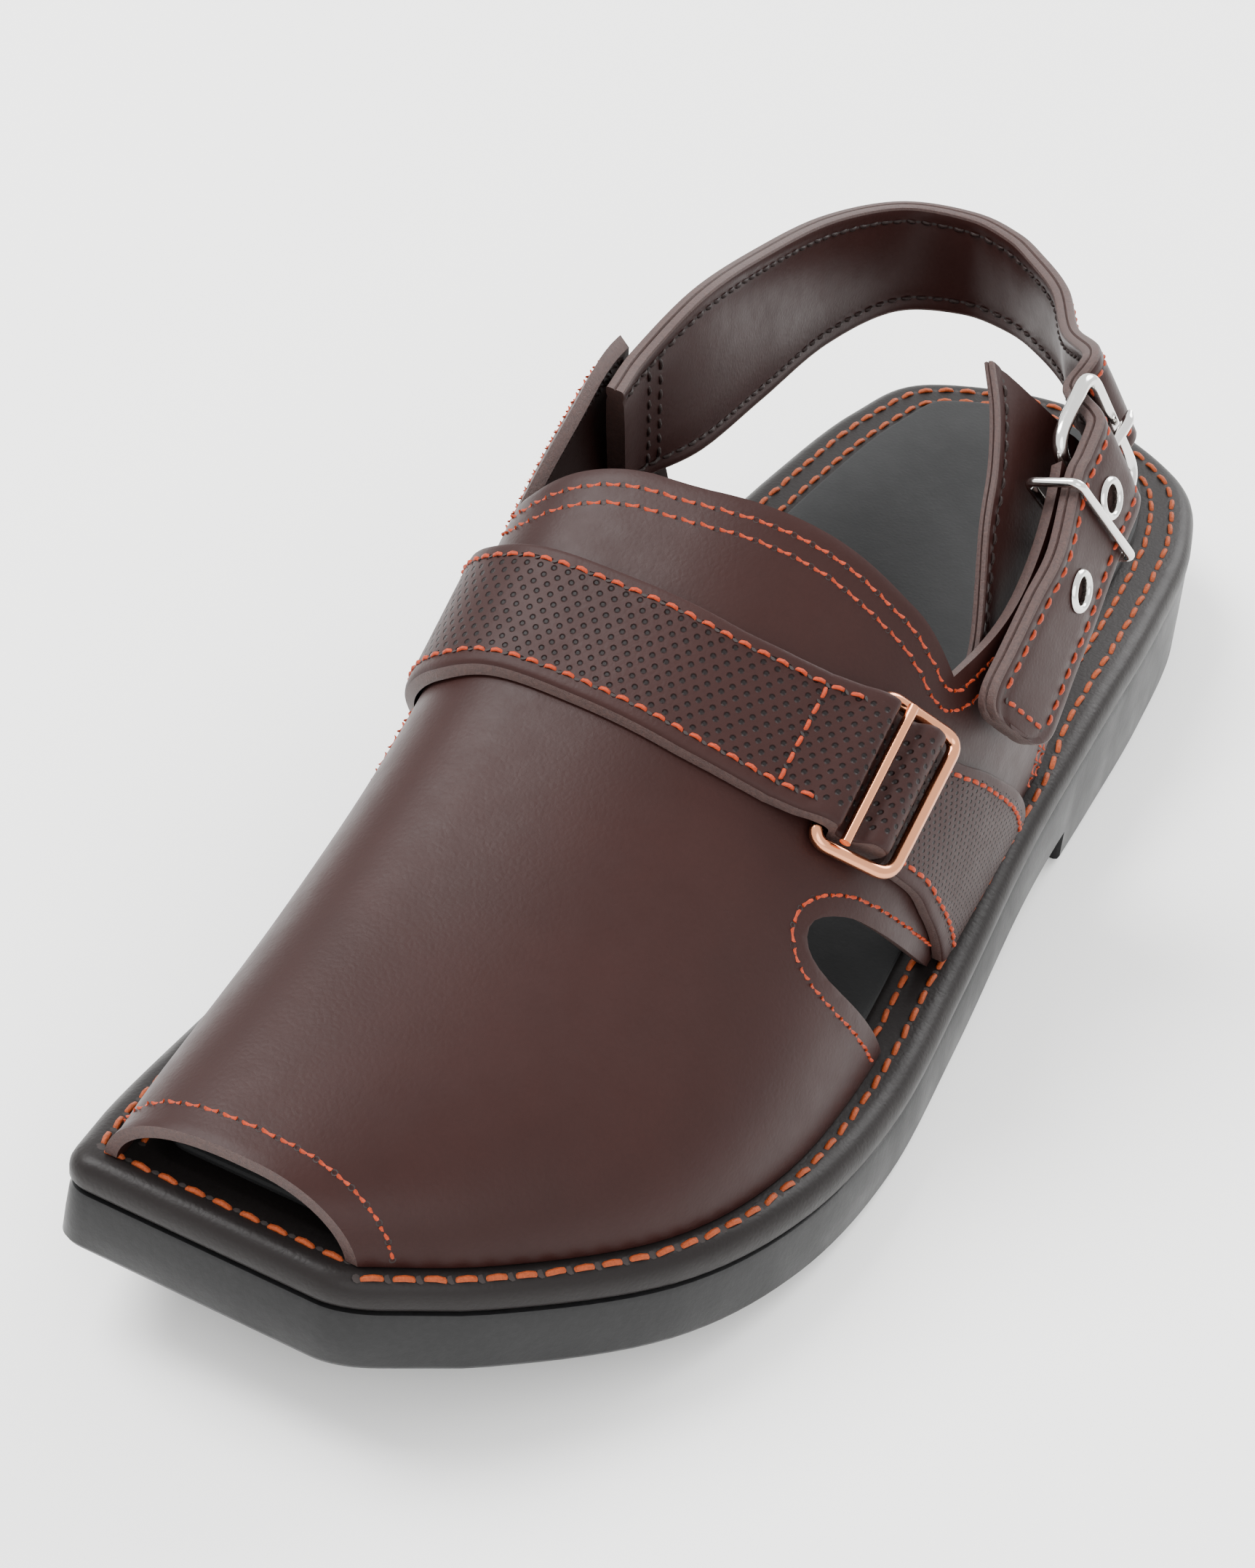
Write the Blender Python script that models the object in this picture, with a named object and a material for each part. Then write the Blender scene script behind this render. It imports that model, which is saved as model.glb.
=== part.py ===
"""Left peshawari chappal: rubber sole, leather rand, open-toed upper, instep band and buckled heel strap.

Metres, +Z up. The toe points to -Y, the wearer's left (lateral) side is +X, the floor is Z = 0.
"""
import math

import bmesh
import bpy
from mathutils import Quaternion, Vector

# Sole
SOLE_LENGTH = 0.290
BALL_WIDTH = 0.0992
FOREFOOT_HEIGHT = 0.0170
HEEL_HEIGHT = 0.0256
TOE_SPRING = 0.0160
WAIST_RISE = 0.0062
RAND_THICKNESS = 0.0060
RAND_ROUND = 0.0034
WALL_FLARE = 0.0008
TOE_CORNER = 0.0040
INSOLE_THICKNESS = 0.0016
INSOLE_INSET = 0.0118
SEAT_GAP = 0.0003

# Upper
LEATHER = 0.0020
BASE_INSET = 0.0066
INSTEP_HEIGHT = 0.0720
BAND_WIDTH = 0.0230
BAND_THICKNESS = 0.0022
SLOT_LENGTH = 0.0225
SLOT_HEIGHT = 0.0310

# Heel strap and metal
STRAP_WIDTH = 0.0205
STRAP_THICKNESS = 0.0032
GUARD_THICKNESS = 0.0020
SLIDE_WIRE = 0.0022
BUCKLE_LENGTH = 0.0160
BUCKLE_WIRE = 0.0025
PRONG_WIRE = 0.0020
KEEPER_WIRE = 0.0016
EYELET_RADIUS = 0.0029
EYELET_WIRE = 0.0014

HALF_LENGTH = SOLE_LENGTH / 2
SIDE_SAMPLES = 20
TOE_SAMPLES = 6
HEEL_SAMPLES = 7

# Sole outline: station from the toe as a share of the length, then each side as a share of the ball width
OUTLINE = (
    # station, lateral, medial
    (0.060, 0.232, 0.432),
    (0.140, 0.404, 0.462),
    (0.230, 0.486, 0.486),
    (0.330, 0.500, 0.500),
    (0.440, 0.466, 0.496),
    (0.560, 0.425, 0.478),
    (0.680, 0.403, 0.458),
    (0.790, 0.379, 0.450),
    (0.890, 0.333, 0.425),
    (0.960, 0.222, 0.348),
)
LATERAL_CORNER = (0.0075, 0.066)
MEDIAL_CORNER = (0.0, -0.393)
HEEL_TIP = (1.0, -0.063)

SPRING_START = 0.34
SPRING_POWER = 1.5
WAIST_START = 0.42
HEEL_BREAST = 0.632
RAMP_START = 0.38
RAMP_END = 0.73

# Upper sections: crown height is a share of the instep height, crest place a share of the ball width, base a
# share of the base inset on the lateral side, and the leans are outward shifts as shares of the height
SECTIONS = (
    # station, crown, crest, lateral_power, medial_power, rise_power, lateral_lean, medial_lean, base
    (0.020, 0.155, -0.115, 2.2, 2.6, 1.9, 0.00, 0.00, 0.62),
    (0.090, 0.275, -0.120, 2.2, 2.8, 1.9, 0.00, 0.02, 0.64),
    (0.190, 0.440, -0.125, 2.2, 3.0, 2.0, 0.00, 0.05, 0.78),
    (0.300, 0.655, -0.130, 2.2, 3.3, 2.0, 0.00, 0.09, 1.05),
    (0.400, 0.880, -0.135, 2.2, 3.9, 2.1, 0.01, 0.13, 1.12),
    (0.470, 1.010, -0.135, 2.3, 4.4, 2.2, 0.02, 0.16, 1.00),
    (0.540, 1.100, -0.120, 2.3, 4.6, 2.3, 0.06, 0.18, 0.85),
    (0.630, 1.090, -0.090, 2.2, 4.6, 2.4, 0.11, 0.18, 0.80),
    (0.760, 1.100, -0.060, 2.2, 4.6, 2.4, 0.12, 0.18, 0.80),
)


def smooth(t):
    t = min(max(t, 0.0), 1.0)
    return t * t * (3.0 - 2.0 * t)


def station_y(share):
    return -HALF_LENGTH + share * SOLE_LENGTH


def share_of(y):
    return (y + HALF_LENGTH) / SOLE_LENGTH


def catmull(points, per_span):
    """A smooth open curve through the points."""
    ends = [points[0] * 2 - points[1]] + list(points) + [points[-1] * 2 - points[-2]]
    curve = []
    for i in range(1, len(ends) - 2):
        p0, p1, p2, p3 = ends[i - 1:i + 3]
        for k in range(per_span):
            t = k / per_span
            a = 2 * p1
            b = (p2 - p0) * t
            c = (2 * p0 - 5 * p1 + 4 * p2 - p3) * t * t
            d = (3 * p1 - 3 * p2 + p3 - p0) * t ** 3
            curve.append((a + b + c + d) / 2)
    curve.append(points[-1].copy())
    return curve


def table_at(rows, share):
    """Each column of a table of sections at a station, smoothly between its rows."""
    if share <= rows[0][0]:
        return list(rows[0][1:])
    for i in range(len(rows) - 1):
        if share <= rows[i + 1][0]:
            break
    else:
        return list(rows[-1][1:])
    low, high = rows[i], rows[i + 1]
    before, after = rows[max(i - 1, 0)], rows[min(i + 2, len(rows) - 1)]
    span = high[0] - low[0]
    t = (share - low[0]) / span
    values = []
    for k in range(1, len(low)):
        m0 = (high[k] - before[k]) / (high[0] - before[0]) * span
        m1 = (after[k] - low[k]) / (after[0] - low[0]) * span
        value = (2 * t ** 3 - 3 * t ** 2 + 1) * low[k] + (t ** 3 - 2 * t ** 2 + t) * m0
        value += (3 * t ** 2 - 2 * t ** 3) * high[k] + (t ** 3 - t ** 2) * m1
        values.append(value)
    return values


def raw_edge():
    """The outline as one curve from the lateral toe corner round the heel to the medial toe corner."""
    lateral = [Vector((row[1] * BALL_WIDTH, station_y(row[0]))) for row in OUTLINE]
    medial = [Vector((-row[2] * BALL_WIDTH, station_y(row[0]))) for row in OUTLINE]
    first = Vector((LATERAL_CORNER[1] * BALL_WIDTH, station_y(LATERAL_CORNER[0])))
    last = Vector((MEDIAL_CORNER[1] * BALL_WIDTH, station_y(MEDIAL_CORNER[0])))
    tip = Vector((HEEL_TIP[1] * BALL_WIDTH, station_y(HEEL_TIP[0])))
    return catmull([first] + lateral + [tip] + medial[::-1] + [last], 12)


EDGE = raw_edge()
MIDDLE_X = (max(p.x for p in EDGE) + min(p.x for p in EDGE)) / 2
MIDDLE_Y = (max(p.y for p in EDGE) + min(p.y for p in EDGE)) / 2
EDGE = [p - Vector((MIDDLE_X, MIDDLE_Y)) for p in EDGE]


def inset_edge(inset):
    """The edge moved inward, cut off at the toe line that is moved inward too: lateral and medial sides."""
    count = len(EDGE)
    moved = []
    for i, p in enumerate(EDGE):
        along = (EDGE[min(i + 1, count - 1)] - EDGE[max(i - 1, 0)]).normalized()
        moved.append(p + Vector((-along.y, along.x)) * inset)
    toe_line = (EDGE[-1] - EDGE[0]).normalized()
    inward = Vector((toe_line.y, -toe_line.x))

    def depth(p):
        return (p - EDGE[0]).dot(inward) - inset

    tip = max(range(count), key=lambda i: moved[i].y)
    sides = []
    for side in (moved[:tip + 1], moved[tip:][::-1]):
        i = 0
        while depth(side[i + 1]) <= 0:
            i += 1
        a, b = side[i], side[i + 1]
        gap = depth(b) - depth(a)
        t = -depth(a) / gap if depth(a) < 0 else 0.0
        corner = a.lerp(b, t) if depth(a) < 0 else a - (b - a).normalized() * depth(a)
        sides.append([corner] + side[i + 1:])
    return sides


EDGES = {}


def sides_of(inset):
    key = round(inset, 6)
    if key not in EDGES:
        EDGES[key] = inset_edge(inset)
    return EDGES[key]


def point_at_y(side, y):
    for a, b in zip(side, side[1:]):
        if b.y >= y:
            t = (y - a.y) / max(b.y - a.y, 1e-9)
            return a.lerp(b, min(max(t, 0.0), 1.0))
    return side[-1].copy()


def side_x(y, inset, side):
    """The place across the shoe of the inset edge: side 0 is lateral, side 1 medial."""
    return point_at_y(sides_of(inset)[side], y).x


def bezier(a, b, c, t):
    return a * (1 - t) ** 2 + b * 2 * t * (1 - t) + c * t * t


def row_places():
    """Places along the shoe of the sole's rows, with a pair at the heel breast."""
    last = station_y(0.875)
    rows = [station_y(0.05) + (last - station_y(0.05)) * i / (SIDE_SAMPLES - 1) for i in range(SIDE_SAMPLES)]
    breast = station_y(HEEL_BREAST)
    rows = [y for y in rows if abs(y - breast) > SOLE_LENGTH * 0.008]
    rows += [breast - 0.0004, breast + 0.0004]
    return sorted(rows)


def loop_rows(inset, corner=TOE_CORNER):
    """Rows of the inset outline: a list of (lateral, medial) points from the toe back, and the toe edge."""
    lateral, medial = sides_of(inset)
    rounds = []
    for side, other in ((lateral, medial), (medial, lateral)):
        across = (other[0] - side[0]).normalized() * corner
        back = point_at_y(side, side[0].y + corner)
        rounds.append((side[0] + across, side[0], back))
    rows = []
    for t in (0.5, 0.75, 1.0):
        rows.append(tuple(bezier(*points, t) for points in rounds))
    for y in row_places():
        rows.append((point_at_y(lateral, y), point_at_y(medial, y)))
    tails = []
    for side in (lateral, medial):
        start = rows[-1][0] if side is lateral else rows[-1][1]
        tail = [start] + [p for p in side if p.y > start.y + 1e-6]
        lengths = [0.0]
        for a, b in zip(tail, tail[1:]):
            lengths.append(lengths[-1] + (b - a).length)
        points = []
        for i in range(1, HEEL_SAMPLES + 1):
            goal = lengths[-1] * i / HEEL_SAMPLES
            k = next(k for k in range(1, len(tail)) if lengths[k] >= goal - 1e-9)
            t = (goal - lengths[k - 1]) / (lengths[k] - lengths[k - 1])
            points.append(tail[k - 1].lerp(tail[k], t))
        tails.append(points)
    rows += list(zip(*tails))
    toe = [bezier(*rounds[0], 0.5), bezier(*rounds[0], 0.25)]
    start, end = rounds[0][0], rounds[1][0]
    toe += [start.lerp(end, i / (TOE_SAMPLES - 4)) for i in range(TOE_SAMPLES - 3)]
    toe += [bezier(*rounds[1], 0.25), bezier(*rounds[1], 0.5)]
    return rows, toe


def spring_at(y):
    share = (SPRING_START - share_of(y)) / SPRING_START
    return TOE_SPRING * max(share, 0.0) ** SPRING_POWER


def floor_at(y):
    """The sole's underside: toe spring, flat tread, waist and flat heel."""
    share = share_of(y)
    if share < WAIST_START or share > HEEL_BREAST:
        return spring_at(y)
    return WAIST_RISE * smooth((share - WAIST_START) / (HEEL_BREAST - WAIST_START))


def top_at(y):
    """The rand's upper face."""
    ramp = smooth((share_of(y) - RAMP_START) / (RAMP_END - RAMP_START))
    return FOREFOOT_HEIGHT + (HEEL_HEIGHT - FOREFOOT_HEIGHT) * ramp + spring_at(y)


def material(name, color, roughness, metallic=0.0):
    mat = bpy.data.materials.new(name)
    mat.use_nodes = True
    shader = mat.node_tree.nodes["Principled BSDF"]
    shader.inputs["Base Color"].default_value = (*color, 1.0)
    shader.inputs["Roughness"].default_value = roughness
    shader.inputs["Metallic"].default_value = metallic
    return mat


def add_mesh(name, points, faces, mat, smooth_angle=35):
    mesh = bpy.data.meshes.new(name)
    mesh.from_pydata([tuple(p) for p in points], [], faces)
    mesh.validate()
    mesh.materials.append(mat)
    mesh.shade_smooth()
    mesh.set_sharp_from_angle(angle=math.radians(smooth_angle))
    piece = bpy.data.objects.new(name, mesh)
    SHOE.objects.link(piece)
    return piece


def slab(name, rings, mat):
    """A closed slab from rings of (inset, height function), lowest first."""
    points, faces, layers = [], [], []
    for inset, height in rings:
        rows, toe = loop_rows(inset)
        loop = [row[0] for row in rows] + [row[1] for row in rows[-2::-1]] + toe[-2:0:-1]
        layers.append((len(points), rows, toe))
        points += [(p.x, p.y, height(p.y)) for p in loop]
        count = len(loop)
    for low in range(len(rings) - 1):
        a, b = low * count, (low + 1) * count
        for i in range(count):
            j = (i + 1) % count
            faces.append((a + i, a + j, b + j, b + i))
    for layer, upward in ((0, False), (len(rings) - 1, True)):
        base, rows, toe = layers[layer]
        height = rings[layer][1]
        across = len(toe) - 1
        grid = []
        size = len(rows)
        for r, (left, right) in enumerate(rows):
            if r == 0:
                line = [base] + [base + count - k for k in range(1, across)] + [base + 2 * size - 2]
            elif r == size - 1:
                line = [base + r] * (across + 1)
            else:
                line = [base + r]
                for k in range(1, across):
                    p = left.lerp(right, k / across)
                    line.append(len(points))
                    points.append((p.x, p.y, height(p.y)))
                line.append(base + 2 * size - 2 - r)
            grid.append(line)
        for r in range(size - 1):
            for k in range(across):
                quad = [grid[r][k], grid[r][k + 1], grid[r + 1][k + 1], grid[r + 1][k]]
                corners = list(dict.fromkeys(quad))
                faces.append(tuple(corners[::-1] if upward else corners))
    return add_mesh(name, points, faces, mat)


def shell(name, outer, inner, quads, mat, smooth_angle=50):
    """A closed wall between two matching point grids: quads index both, and open edges are closed."""
    count = len(outer)
    faces = []
    edges = {}
    for quad in quads:
        faces.append(tuple(quad))
        faces.append(tuple(count + i for i in reversed(quad)))
        for a, b in zip(quad, quad[1:] + quad[:1]):
            edges[(a, b)] = True
    for a, b in edges:
        if (b, a) not in edges:
            faces.append((b, a, count + a, count + b))
    return add_mesh(name, list(outer) + list(inner), faces, mat, smooth_angle)


def base_x(y, side, share):
    """The place across the shoe of the upper's base, moved in by a share of the base inset."""
    near, far = 0.6, 1.2
    if side == 1:
        return side_x(y, BASE_INSET, 1)
    a, b = side_x(y, BASE_INSET * near, 0), side_x(y, BASE_INSET * far, 0)
    return a + (b - a) * (share - near) / (far - near)


def upper_point(y, turn, out=0.0):
    """A point of the upper: turn 0 is its lateral base, 1 its medial base; out is the offset outward."""
    crown, crest, lateral, medial, rise_power, lateral_lean, medial_lean, share = table_at(SECTIONS, share_of(y))
    middle = crest * BALL_WIDTH
    angle = math.pi * turn
    side = 0 if angle < math.pi / 2 else 1
    power, lean, sign = ((lateral, lateral_lean, 1), (medial, medial_lean, -1))[side]
    reach = abs(base_x(y, side, share) - middle) + out
    cosine = abs(math.cos(angle)) ** (2.0 / power)
    sine = abs(math.sin(angle)) ** (2.0 / rise_power)
    rise = (crown * INSTEP_HEIGHT + out) * sine
    x = middle + sign * (reach + lean * rise) * cosine
    return Vector((x, y, top_at(y) + SEAT_GAP + rise))


def turn_at_height(y, height, side):
    """The turn where the upper's wall reaches a height above its base, on one side."""
    row = table_at(SECTIONS, share_of(y))
    crown, rise_power = row[0], row[4]
    part = min(max(height / (crown * INSTEP_HEIGHT), 0.0), 1.0)
    angle = math.asin(min(part ** (rise_power / 2.0), 1.0))
    return angle / math.pi if side == 0 else 1.0 - angle / math.pi


# The upper's edges. Stations are shares of the length, heights above the rand are shares of the instep height,
# and each pair is lateral, then medial
TOE_EDGE = (0.0250, 0.0165)
QUARTER_FRONT = (0.455, 0.450)
VALLEY = ((0.470, 0.635), (0.424, 0.780))
QUARTER_REAR = (
    # share of the quarter's columns, then station and height: lateral, medial
    (0.00, 0.603, 0.000, 0.640, 0.000),
    (0.43, 0.596, 0.490, 0.614, 0.400),
    (0.57, 0.633, 0.578, 0.592, 0.600),
    (1.00, 0.6075, 0.824, 0.546, 0.915),
)
TOP_SAG = (0.060, -0.070)
FLAP_EDGE = (
    # share of the way from the lateral to the medial valley, station
    (0.00, 0.470),
    (0.12, 0.466),
    (0.19, 0.461),
    (0.37, 0.452),
    (0.59, 0.439),
    (0.74, 0.428),
    (0.90, 0.421),
    (1.00, 0.424),
)
FLAP_ROOT = 0.075

COLUMNS = 32
FLAP_COLUMNS = (7, 25)
BODY_ROWS = 16
FLAP_ROWS = 4
QUARTER_ROWS = 8


def edge_turns():
    """The turn of every column along the row where flap and quarters part."""
    first, last = FLAP_COLUMNS
    turns = []
    low, high = (turn_at_height(station_y(VALLEY[s][0]), VALLEY[s][1] * INSTEP_HEIGHT, s) for s in (0, 1))
    for i in range(COLUMNS + 1):
        if i <= first:
            turns.append(low * i / first)
        elif i <= last:
            turns.append(low + (high - low) * (i - first) / (last - first))
        else:
            turns.append(high + (1 - high) * (i - last) / (COLUMNS - last))
    return turns


def flap_share(i):
    first, last = FLAP_COLUMNS
    return (i - first) / (last - first)


def parting_station(i):
    """The station of the parting row at a column: it runs under the flap between the two valleys."""
    first, last = FLAP_COLUMNS
    if i <= first:
        return QUARTER_FRONT[0] + (VALLEY[0][0] - QUARTER_FRONT[0]) * i / first
    if i >= last:
        return VALLEY[1][0] + (QUARTER_FRONT[1] - VALLEY[1][0]) * (i - last) / (COLUMNS - last)
    t = flap_share(i)
    root = FLAP_ROOT * math.sin(math.pi * t) ** 0.7
    return table_at(FLAP_EDGE, t)[0] - root


def quarter_place(side, t, up):
    """Station and height share on a quarter: t runs back from the parting row, up from base to top edge."""
    front = (QUARTER_FRONT[side] + (VALLEY[side][0] - QUARTER_FRONT[side]) * up, VALLEY[side][1] * up)
    for low, high in zip(QUARTER_REAR, QUARTER_REAR[1:]):
        if up <= high[0]:
            break
    s = (up - low[0]) / (high[0] - low[0])
    rear = [low[k] + (high[k] - low[k]) * s for k in (1 + 2 * side, 2 + 2 * side)]
    sag = math.sin(math.pi * t) * TOP_SAG[side] * up
    return (front[0] + (rear[0] - front[0]) * t, front[1] + (rear[1] - front[1]) * t - sag)


def upper_places():
    """The upper's grid as (y, turn) places and the quads between them."""
    turns = edge_turns()
    first, last = FLAP_COLUMNS
    places, quads = [], []

    def add_row(row_places):
        start = len(places)
        places.extend(row_places)
        return list(range(start, len(places)))

    def join(grid):
        for low, high in zip(grid, grid[1:]):
            for k in range(len(low) - 1):
                quads.append([low[k], low[k + 1], high[k + 1], high[k]])

    rows = []
    for r in range(BODY_ROWS + 1):
        t = r / BODY_ROWS
        row = []
        for i in range(COLUMNS + 1):
            across = i / COLUMNS
            start = TOE_EDGE[0] + (TOE_EDGE[1] - TOE_EDGE[0]) * across
            station = start + (parting_station(i) - start) * t
            row.append((station_y(station), across + (turns[i] - across) * smooth(t)))
        rows.append(add_row(row))
    join(rows)
    parting = rows[-1]

    flap = [parting[first:last + 1]]
    for r in range(1, FLAP_ROWS + 1):
        row = []
        for i in range(first + 1, last):
            low, high = parting_station(i), table_at(FLAP_EDGE, flap_share(i))[0]
            row.append((station_y(low + (high - low) * r / FLAP_ROWS), turns[i]))
        flap.append([parting[first]] + add_row(row) + [parting[last]])
    for low, high in zip(flap, flap[1:]):
        for k in range(len(low) - 1):
            corners = list(dict.fromkeys([low[k], low[k + 1], high[k + 1], high[k]]))
            quads.append(corners)

    for side, columns in ((0, range(0, first + 1)), (1, range(last, COLUMNS + 1))):
        grid = [[parting[i] for i in columns]]
        spans = len(columns) - 1
        for r in range(1, QUARTER_ROWS + 1):
            row = []
            for n in range(spans + 1):
                up = n / spans if side == 0 else 1 - n / spans
                station, height = quarter_place(side, r / QUARTER_ROWS, up)
                y = station_y(station)
                row.append((y, turn_at_height(y, height * INSTEP_HEIGHT, side)))
            grid.append(add_row(row))
        join(grid)
    return places, quads


def build_upper(mat):
    places, quads = upper_places()
    outer = [upper_point(y, turn) for y, turn in places]
    inner = [upper_point(y, turn, -LEATHER) for y, turn in places]
    return shell("upper", outer, inner, quads, mat)


def wall_point(station, height, side, out=0.0):
    """A point of the upper by station and height share on one side."""
    y = station_y(station)
    return upper_point(y, turn_at_height(y, height * INSTEP_HEIGHT, side), out)


def strip(name, rows, columns, place, out_low, out_high, mat):
    """A closed strip on the upper: place(u, v) gives (y, turn); the offsets depend on the turn."""
    quads = []
    low, high = [], []
    for r in range(rows + 1):
        for c in range(columns + 1):
            y, turn = place(r / rows, c / columns)
            low.append(upper_point(y, turn, out_low(turn)))
            high.append(upper_point(y, turn, out_high(turn)))
    for r in range(rows):
        for c in range(columns):
            a = r * (columns + 1) + c
            quads.append([a, a + 1, a + columns + 2, a + columns + 1])
    return shell(name, high, low, quads, mat)


def frames_along(points, closed):
    """Tangents and a steady normal at each point of a path."""
    count = len(points)
    tangents = []
    for i in range(count):
        before = points[i - 1] if closed or i else points[0]
        after = points[(i + 1) % count] if closed or i < count - 1 else points[-1]
        tangents.append((after - before).normalized())
    normal = tangents[0].orthogonal().normalized()
    normals = []
    for tangent in tangents:
        normal = (normal - tangent * normal.dot(tangent)).normalized()
        normals.append(normal)
    if closed:
        turn = normals[-1].angle(normals[0])
        sign = 1 if normals[-1].cross(normals[0]).dot(tangents[0]) > 0 else -1
        for i in range(count):
            spin = Quaternion(tangents[i], sign * turn * i / count)
            normals[i] = spin @ normals[i]
    return tangents, normals


def wire(name, points, width, mat, closed=False, sides=8):
    """A round wire along a path, with flat ends or closed into a ring."""
    tangents, normals = frames_along(points, closed)
    verts, faces = [], []
    for p, tangent, normal in zip(points, tangents, normals):
        other = tangent.cross(normal)
        for k in range(sides):
            angle = 2 * math.pi * k / sides
            verts.append(p + (normal * math.cos(angle) + other * math.sin(angle)) * width / 2)
    count = len(points)
    for i in range(count if closed else count - 1):
        j = (i + 1) % count
        for k in range(sides):
            n = (k + 1) % sides
            faces.append((i * sides + k, i * sides + n, j * sides + n, j * sides + k))
    if not closed:
        faces.append(tuple(range(sides))[::-1])
        faces.append(tuple((count - 1) * sides + k for k in range(sides)))
    return add_mesh(name, verts, faces, mat)


def rounded_ring(middle, along, across, corner, steps=4):
    """A rounded rectangle: half sides given as vectors."""
    points = []
    a, b = along.normalized() * corner, across.normalized() * corner
    for sa, sb in ((1, 1), (-1, 1), (-1, -1), (1, -1)):
        tip = middle + along * sa + across * sb
        ends = (tip - b * sb, tip - a * sa) if sa * sb > 0 else (tip - a * sa, tip - b * sb)
        points += [bezier(ends[0], tip, ends[1], k / steps) for k in range(steps + 1)]
    return points


def ribbon(name, rows, thickness, mat):
    """A flat strap from rows of (centre, vector from its low edge to its high edge)."""
    verts, faces = [], []
    count = len(rows)
    for i, (centre, width) in enumerate(rows):
        along = rows[min(i + 1, count - 1)][0] - rows[max(i - 1, 0)][0]
        normal = along.cross(width).normalized() * thickness / 2
        for edge, face in ((-0.5, 1), (0.5, 1), (0.5, -1), (-0.5, -1)):
            verts.append(centre + width * edge + normal * face)
    for i in range(count - 1):
        for k in range(4):
            n = (k + 1) % 4
            faces.append((i * 4 + k, (i + 1) * 4 + k, (i + 1) * 4 + n, i * 4 + n))
    faces.append((0, 1, 2, 3))
    last = (count - 1) * 4
    faces.append((last + 3, last + 2, last + 1, last))
    return add_mesh(name, verts, faces, mat)


def prism(name, ring, depth):
    """A cutter: a flat ring of points pushed along a vector."""
    count = len(ring)
    points = list(ring) + [p + depth for p in ring]
    faces = [(i, (i + 1) % count, count + (i + 1) % count, count + i) for i in range(count)]
    faces += [tuple(range(count))[::-1], tuple(range(count, 2 * count))]
    mesh = bpy.data.meshes.new(name)
    mesh.from_pydata([tuple(p) for p in points], [], faces)
    solid = bmesh.new()
    solid.from_mesh(mesh)
    bmesh.ops.recalc_face_normals(solid, faces=solid.faces)
    solid.to_mesh(mesh)
    solid.free()
    piece = bpy.data.objects.new(name, mesh)
    piece.hide_render = True
    piece.display_type = "WIRE"
    CUTTERS.objects.link(piece)
    return piece


def cut(piece, cutter):
    modifier = piece.modifiers.new(cutter.name, "BOOLEAN")
    modifier.operation = "DIFFERENCE"
    modifier.solver = "EXACT"
    modifier.object = cutter


def clear_scene():
    for piece in list(bpy.data.objects):
        bpy.data.objects.remove(piece, do_unlink=True)


clear_scene()
SHOE = bpy.data.collections.new("peshawari_chappal")
CUTTERS = bpy.data.collections.new("cutters")
bpy.context.scene.collection.children.link(SHOE)
bpy.context.scene.collection.children.link(CUTTERS)

RUBBER = material("black_rubber", (0.020, 0.020, 0.021), 0.42)
RAND = material("dark_leather", (0.035, 0.020, 0.016), 0.50)
PAD = material("charcoal_lining", (0.045, 0.044, 0.044), 0.75)
BROWN = material("brown_leather", (0.085, 0.035, 0.028), 0.48)
PERFORATED = material("perforated_leather", (0.080, 0.034, 0.027), 0.55)
ROSE_GOLD = material("rose_gold_wire", (0.80, 0.45, 0.33), 0.22, 1.0)
NICKEL = material("nickel_plate", (0.78, 0.77, 0.75), 0.18, 1.0)


def outsole_top(y):
    return top_at(y) - RAND_THICKNESS - SEAT_GAP


slab("outsole", (
    (0.0008, floor_at),
    (0.0, lambda y: floor_at(y) + 0.0008),
    (WALL_FLARE, lambda y: outsole_top(y) - 0.0008),
    (WALL_FLARE + 0.0008, outsole_top),
), RUBBER)

slab("rand", (
    (WALL_FLARE + 0.0006, lambda y: top_at(y) - RAND_THICKNESS),
    (WALL_FLARE, lambda y: top_at(y) - RAND_THICKNESS + 0.0008),
    (WALL_FLARE, lambda y: top_at(y) - RAND_ROUND),
    (WALL_FLARE + RAND_ROUND * 0.3, lambda y: top_at(y) - RAND_ROUND * 0.3),
    (WALL_FLARE + RAND_ROUND, top_at),
), RAND)

slab("insole", (
    (INSOLE_INSET, lambda y: top_at(y) + SEAT_GAP),
    (INSOLE_INSET, lambda y: top_at(y) + SEAT_GAP + INSOLE_THICKNESS * 0.6),
    (INSOLE_INSET + 0.0008, lambda y: top_at(y) + SEAT_GAP + INSOLE_THICKNESS),
), PAD)

UPPER = build_upper(BROWN)

# The slot through each side of the vamp, wide at the rand and rounded at its head further forward
SLOT_PLACE = 0.392
SLOT_EDGE = (
    # share of the slot's length from its middle, share of its height
    (-0.50, 0.00),
    (-0.88, 0.42),
    (-1.18, 0.76),
    (-1.22, 0.93),
    (-1.06, 1.00),
    (-0.80, 0.93),
    (-0.56, 0.78),
    (-0.03, 0.38),
    (0.50, 0.00),
)


def slot_ring(x):
    middle = station_y(SLOT_PLACE)
    base = top_at(middle)
    ring = [Vector((x, middle + along * SLOT_LENGTH, base + up * SLOT_HEIGHT)) for along, up in SLOT_EDGE]
    ring = catmull(ring, 3)
    below = Vector((0, 0, -SLOT_HEIGHT * 0.3))
    return [ring[0] + below] + ring + [ring[-1] + below]


for side, sign in (("lateral", 1), ("medial", -1)):
    reach = BALL_WIDTH * 0.62
    cut(UPPER, prism("slot_" + side, slot_ring(sign * reach * 0.22), Vector((sign * reach, 0, 0))))

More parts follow.
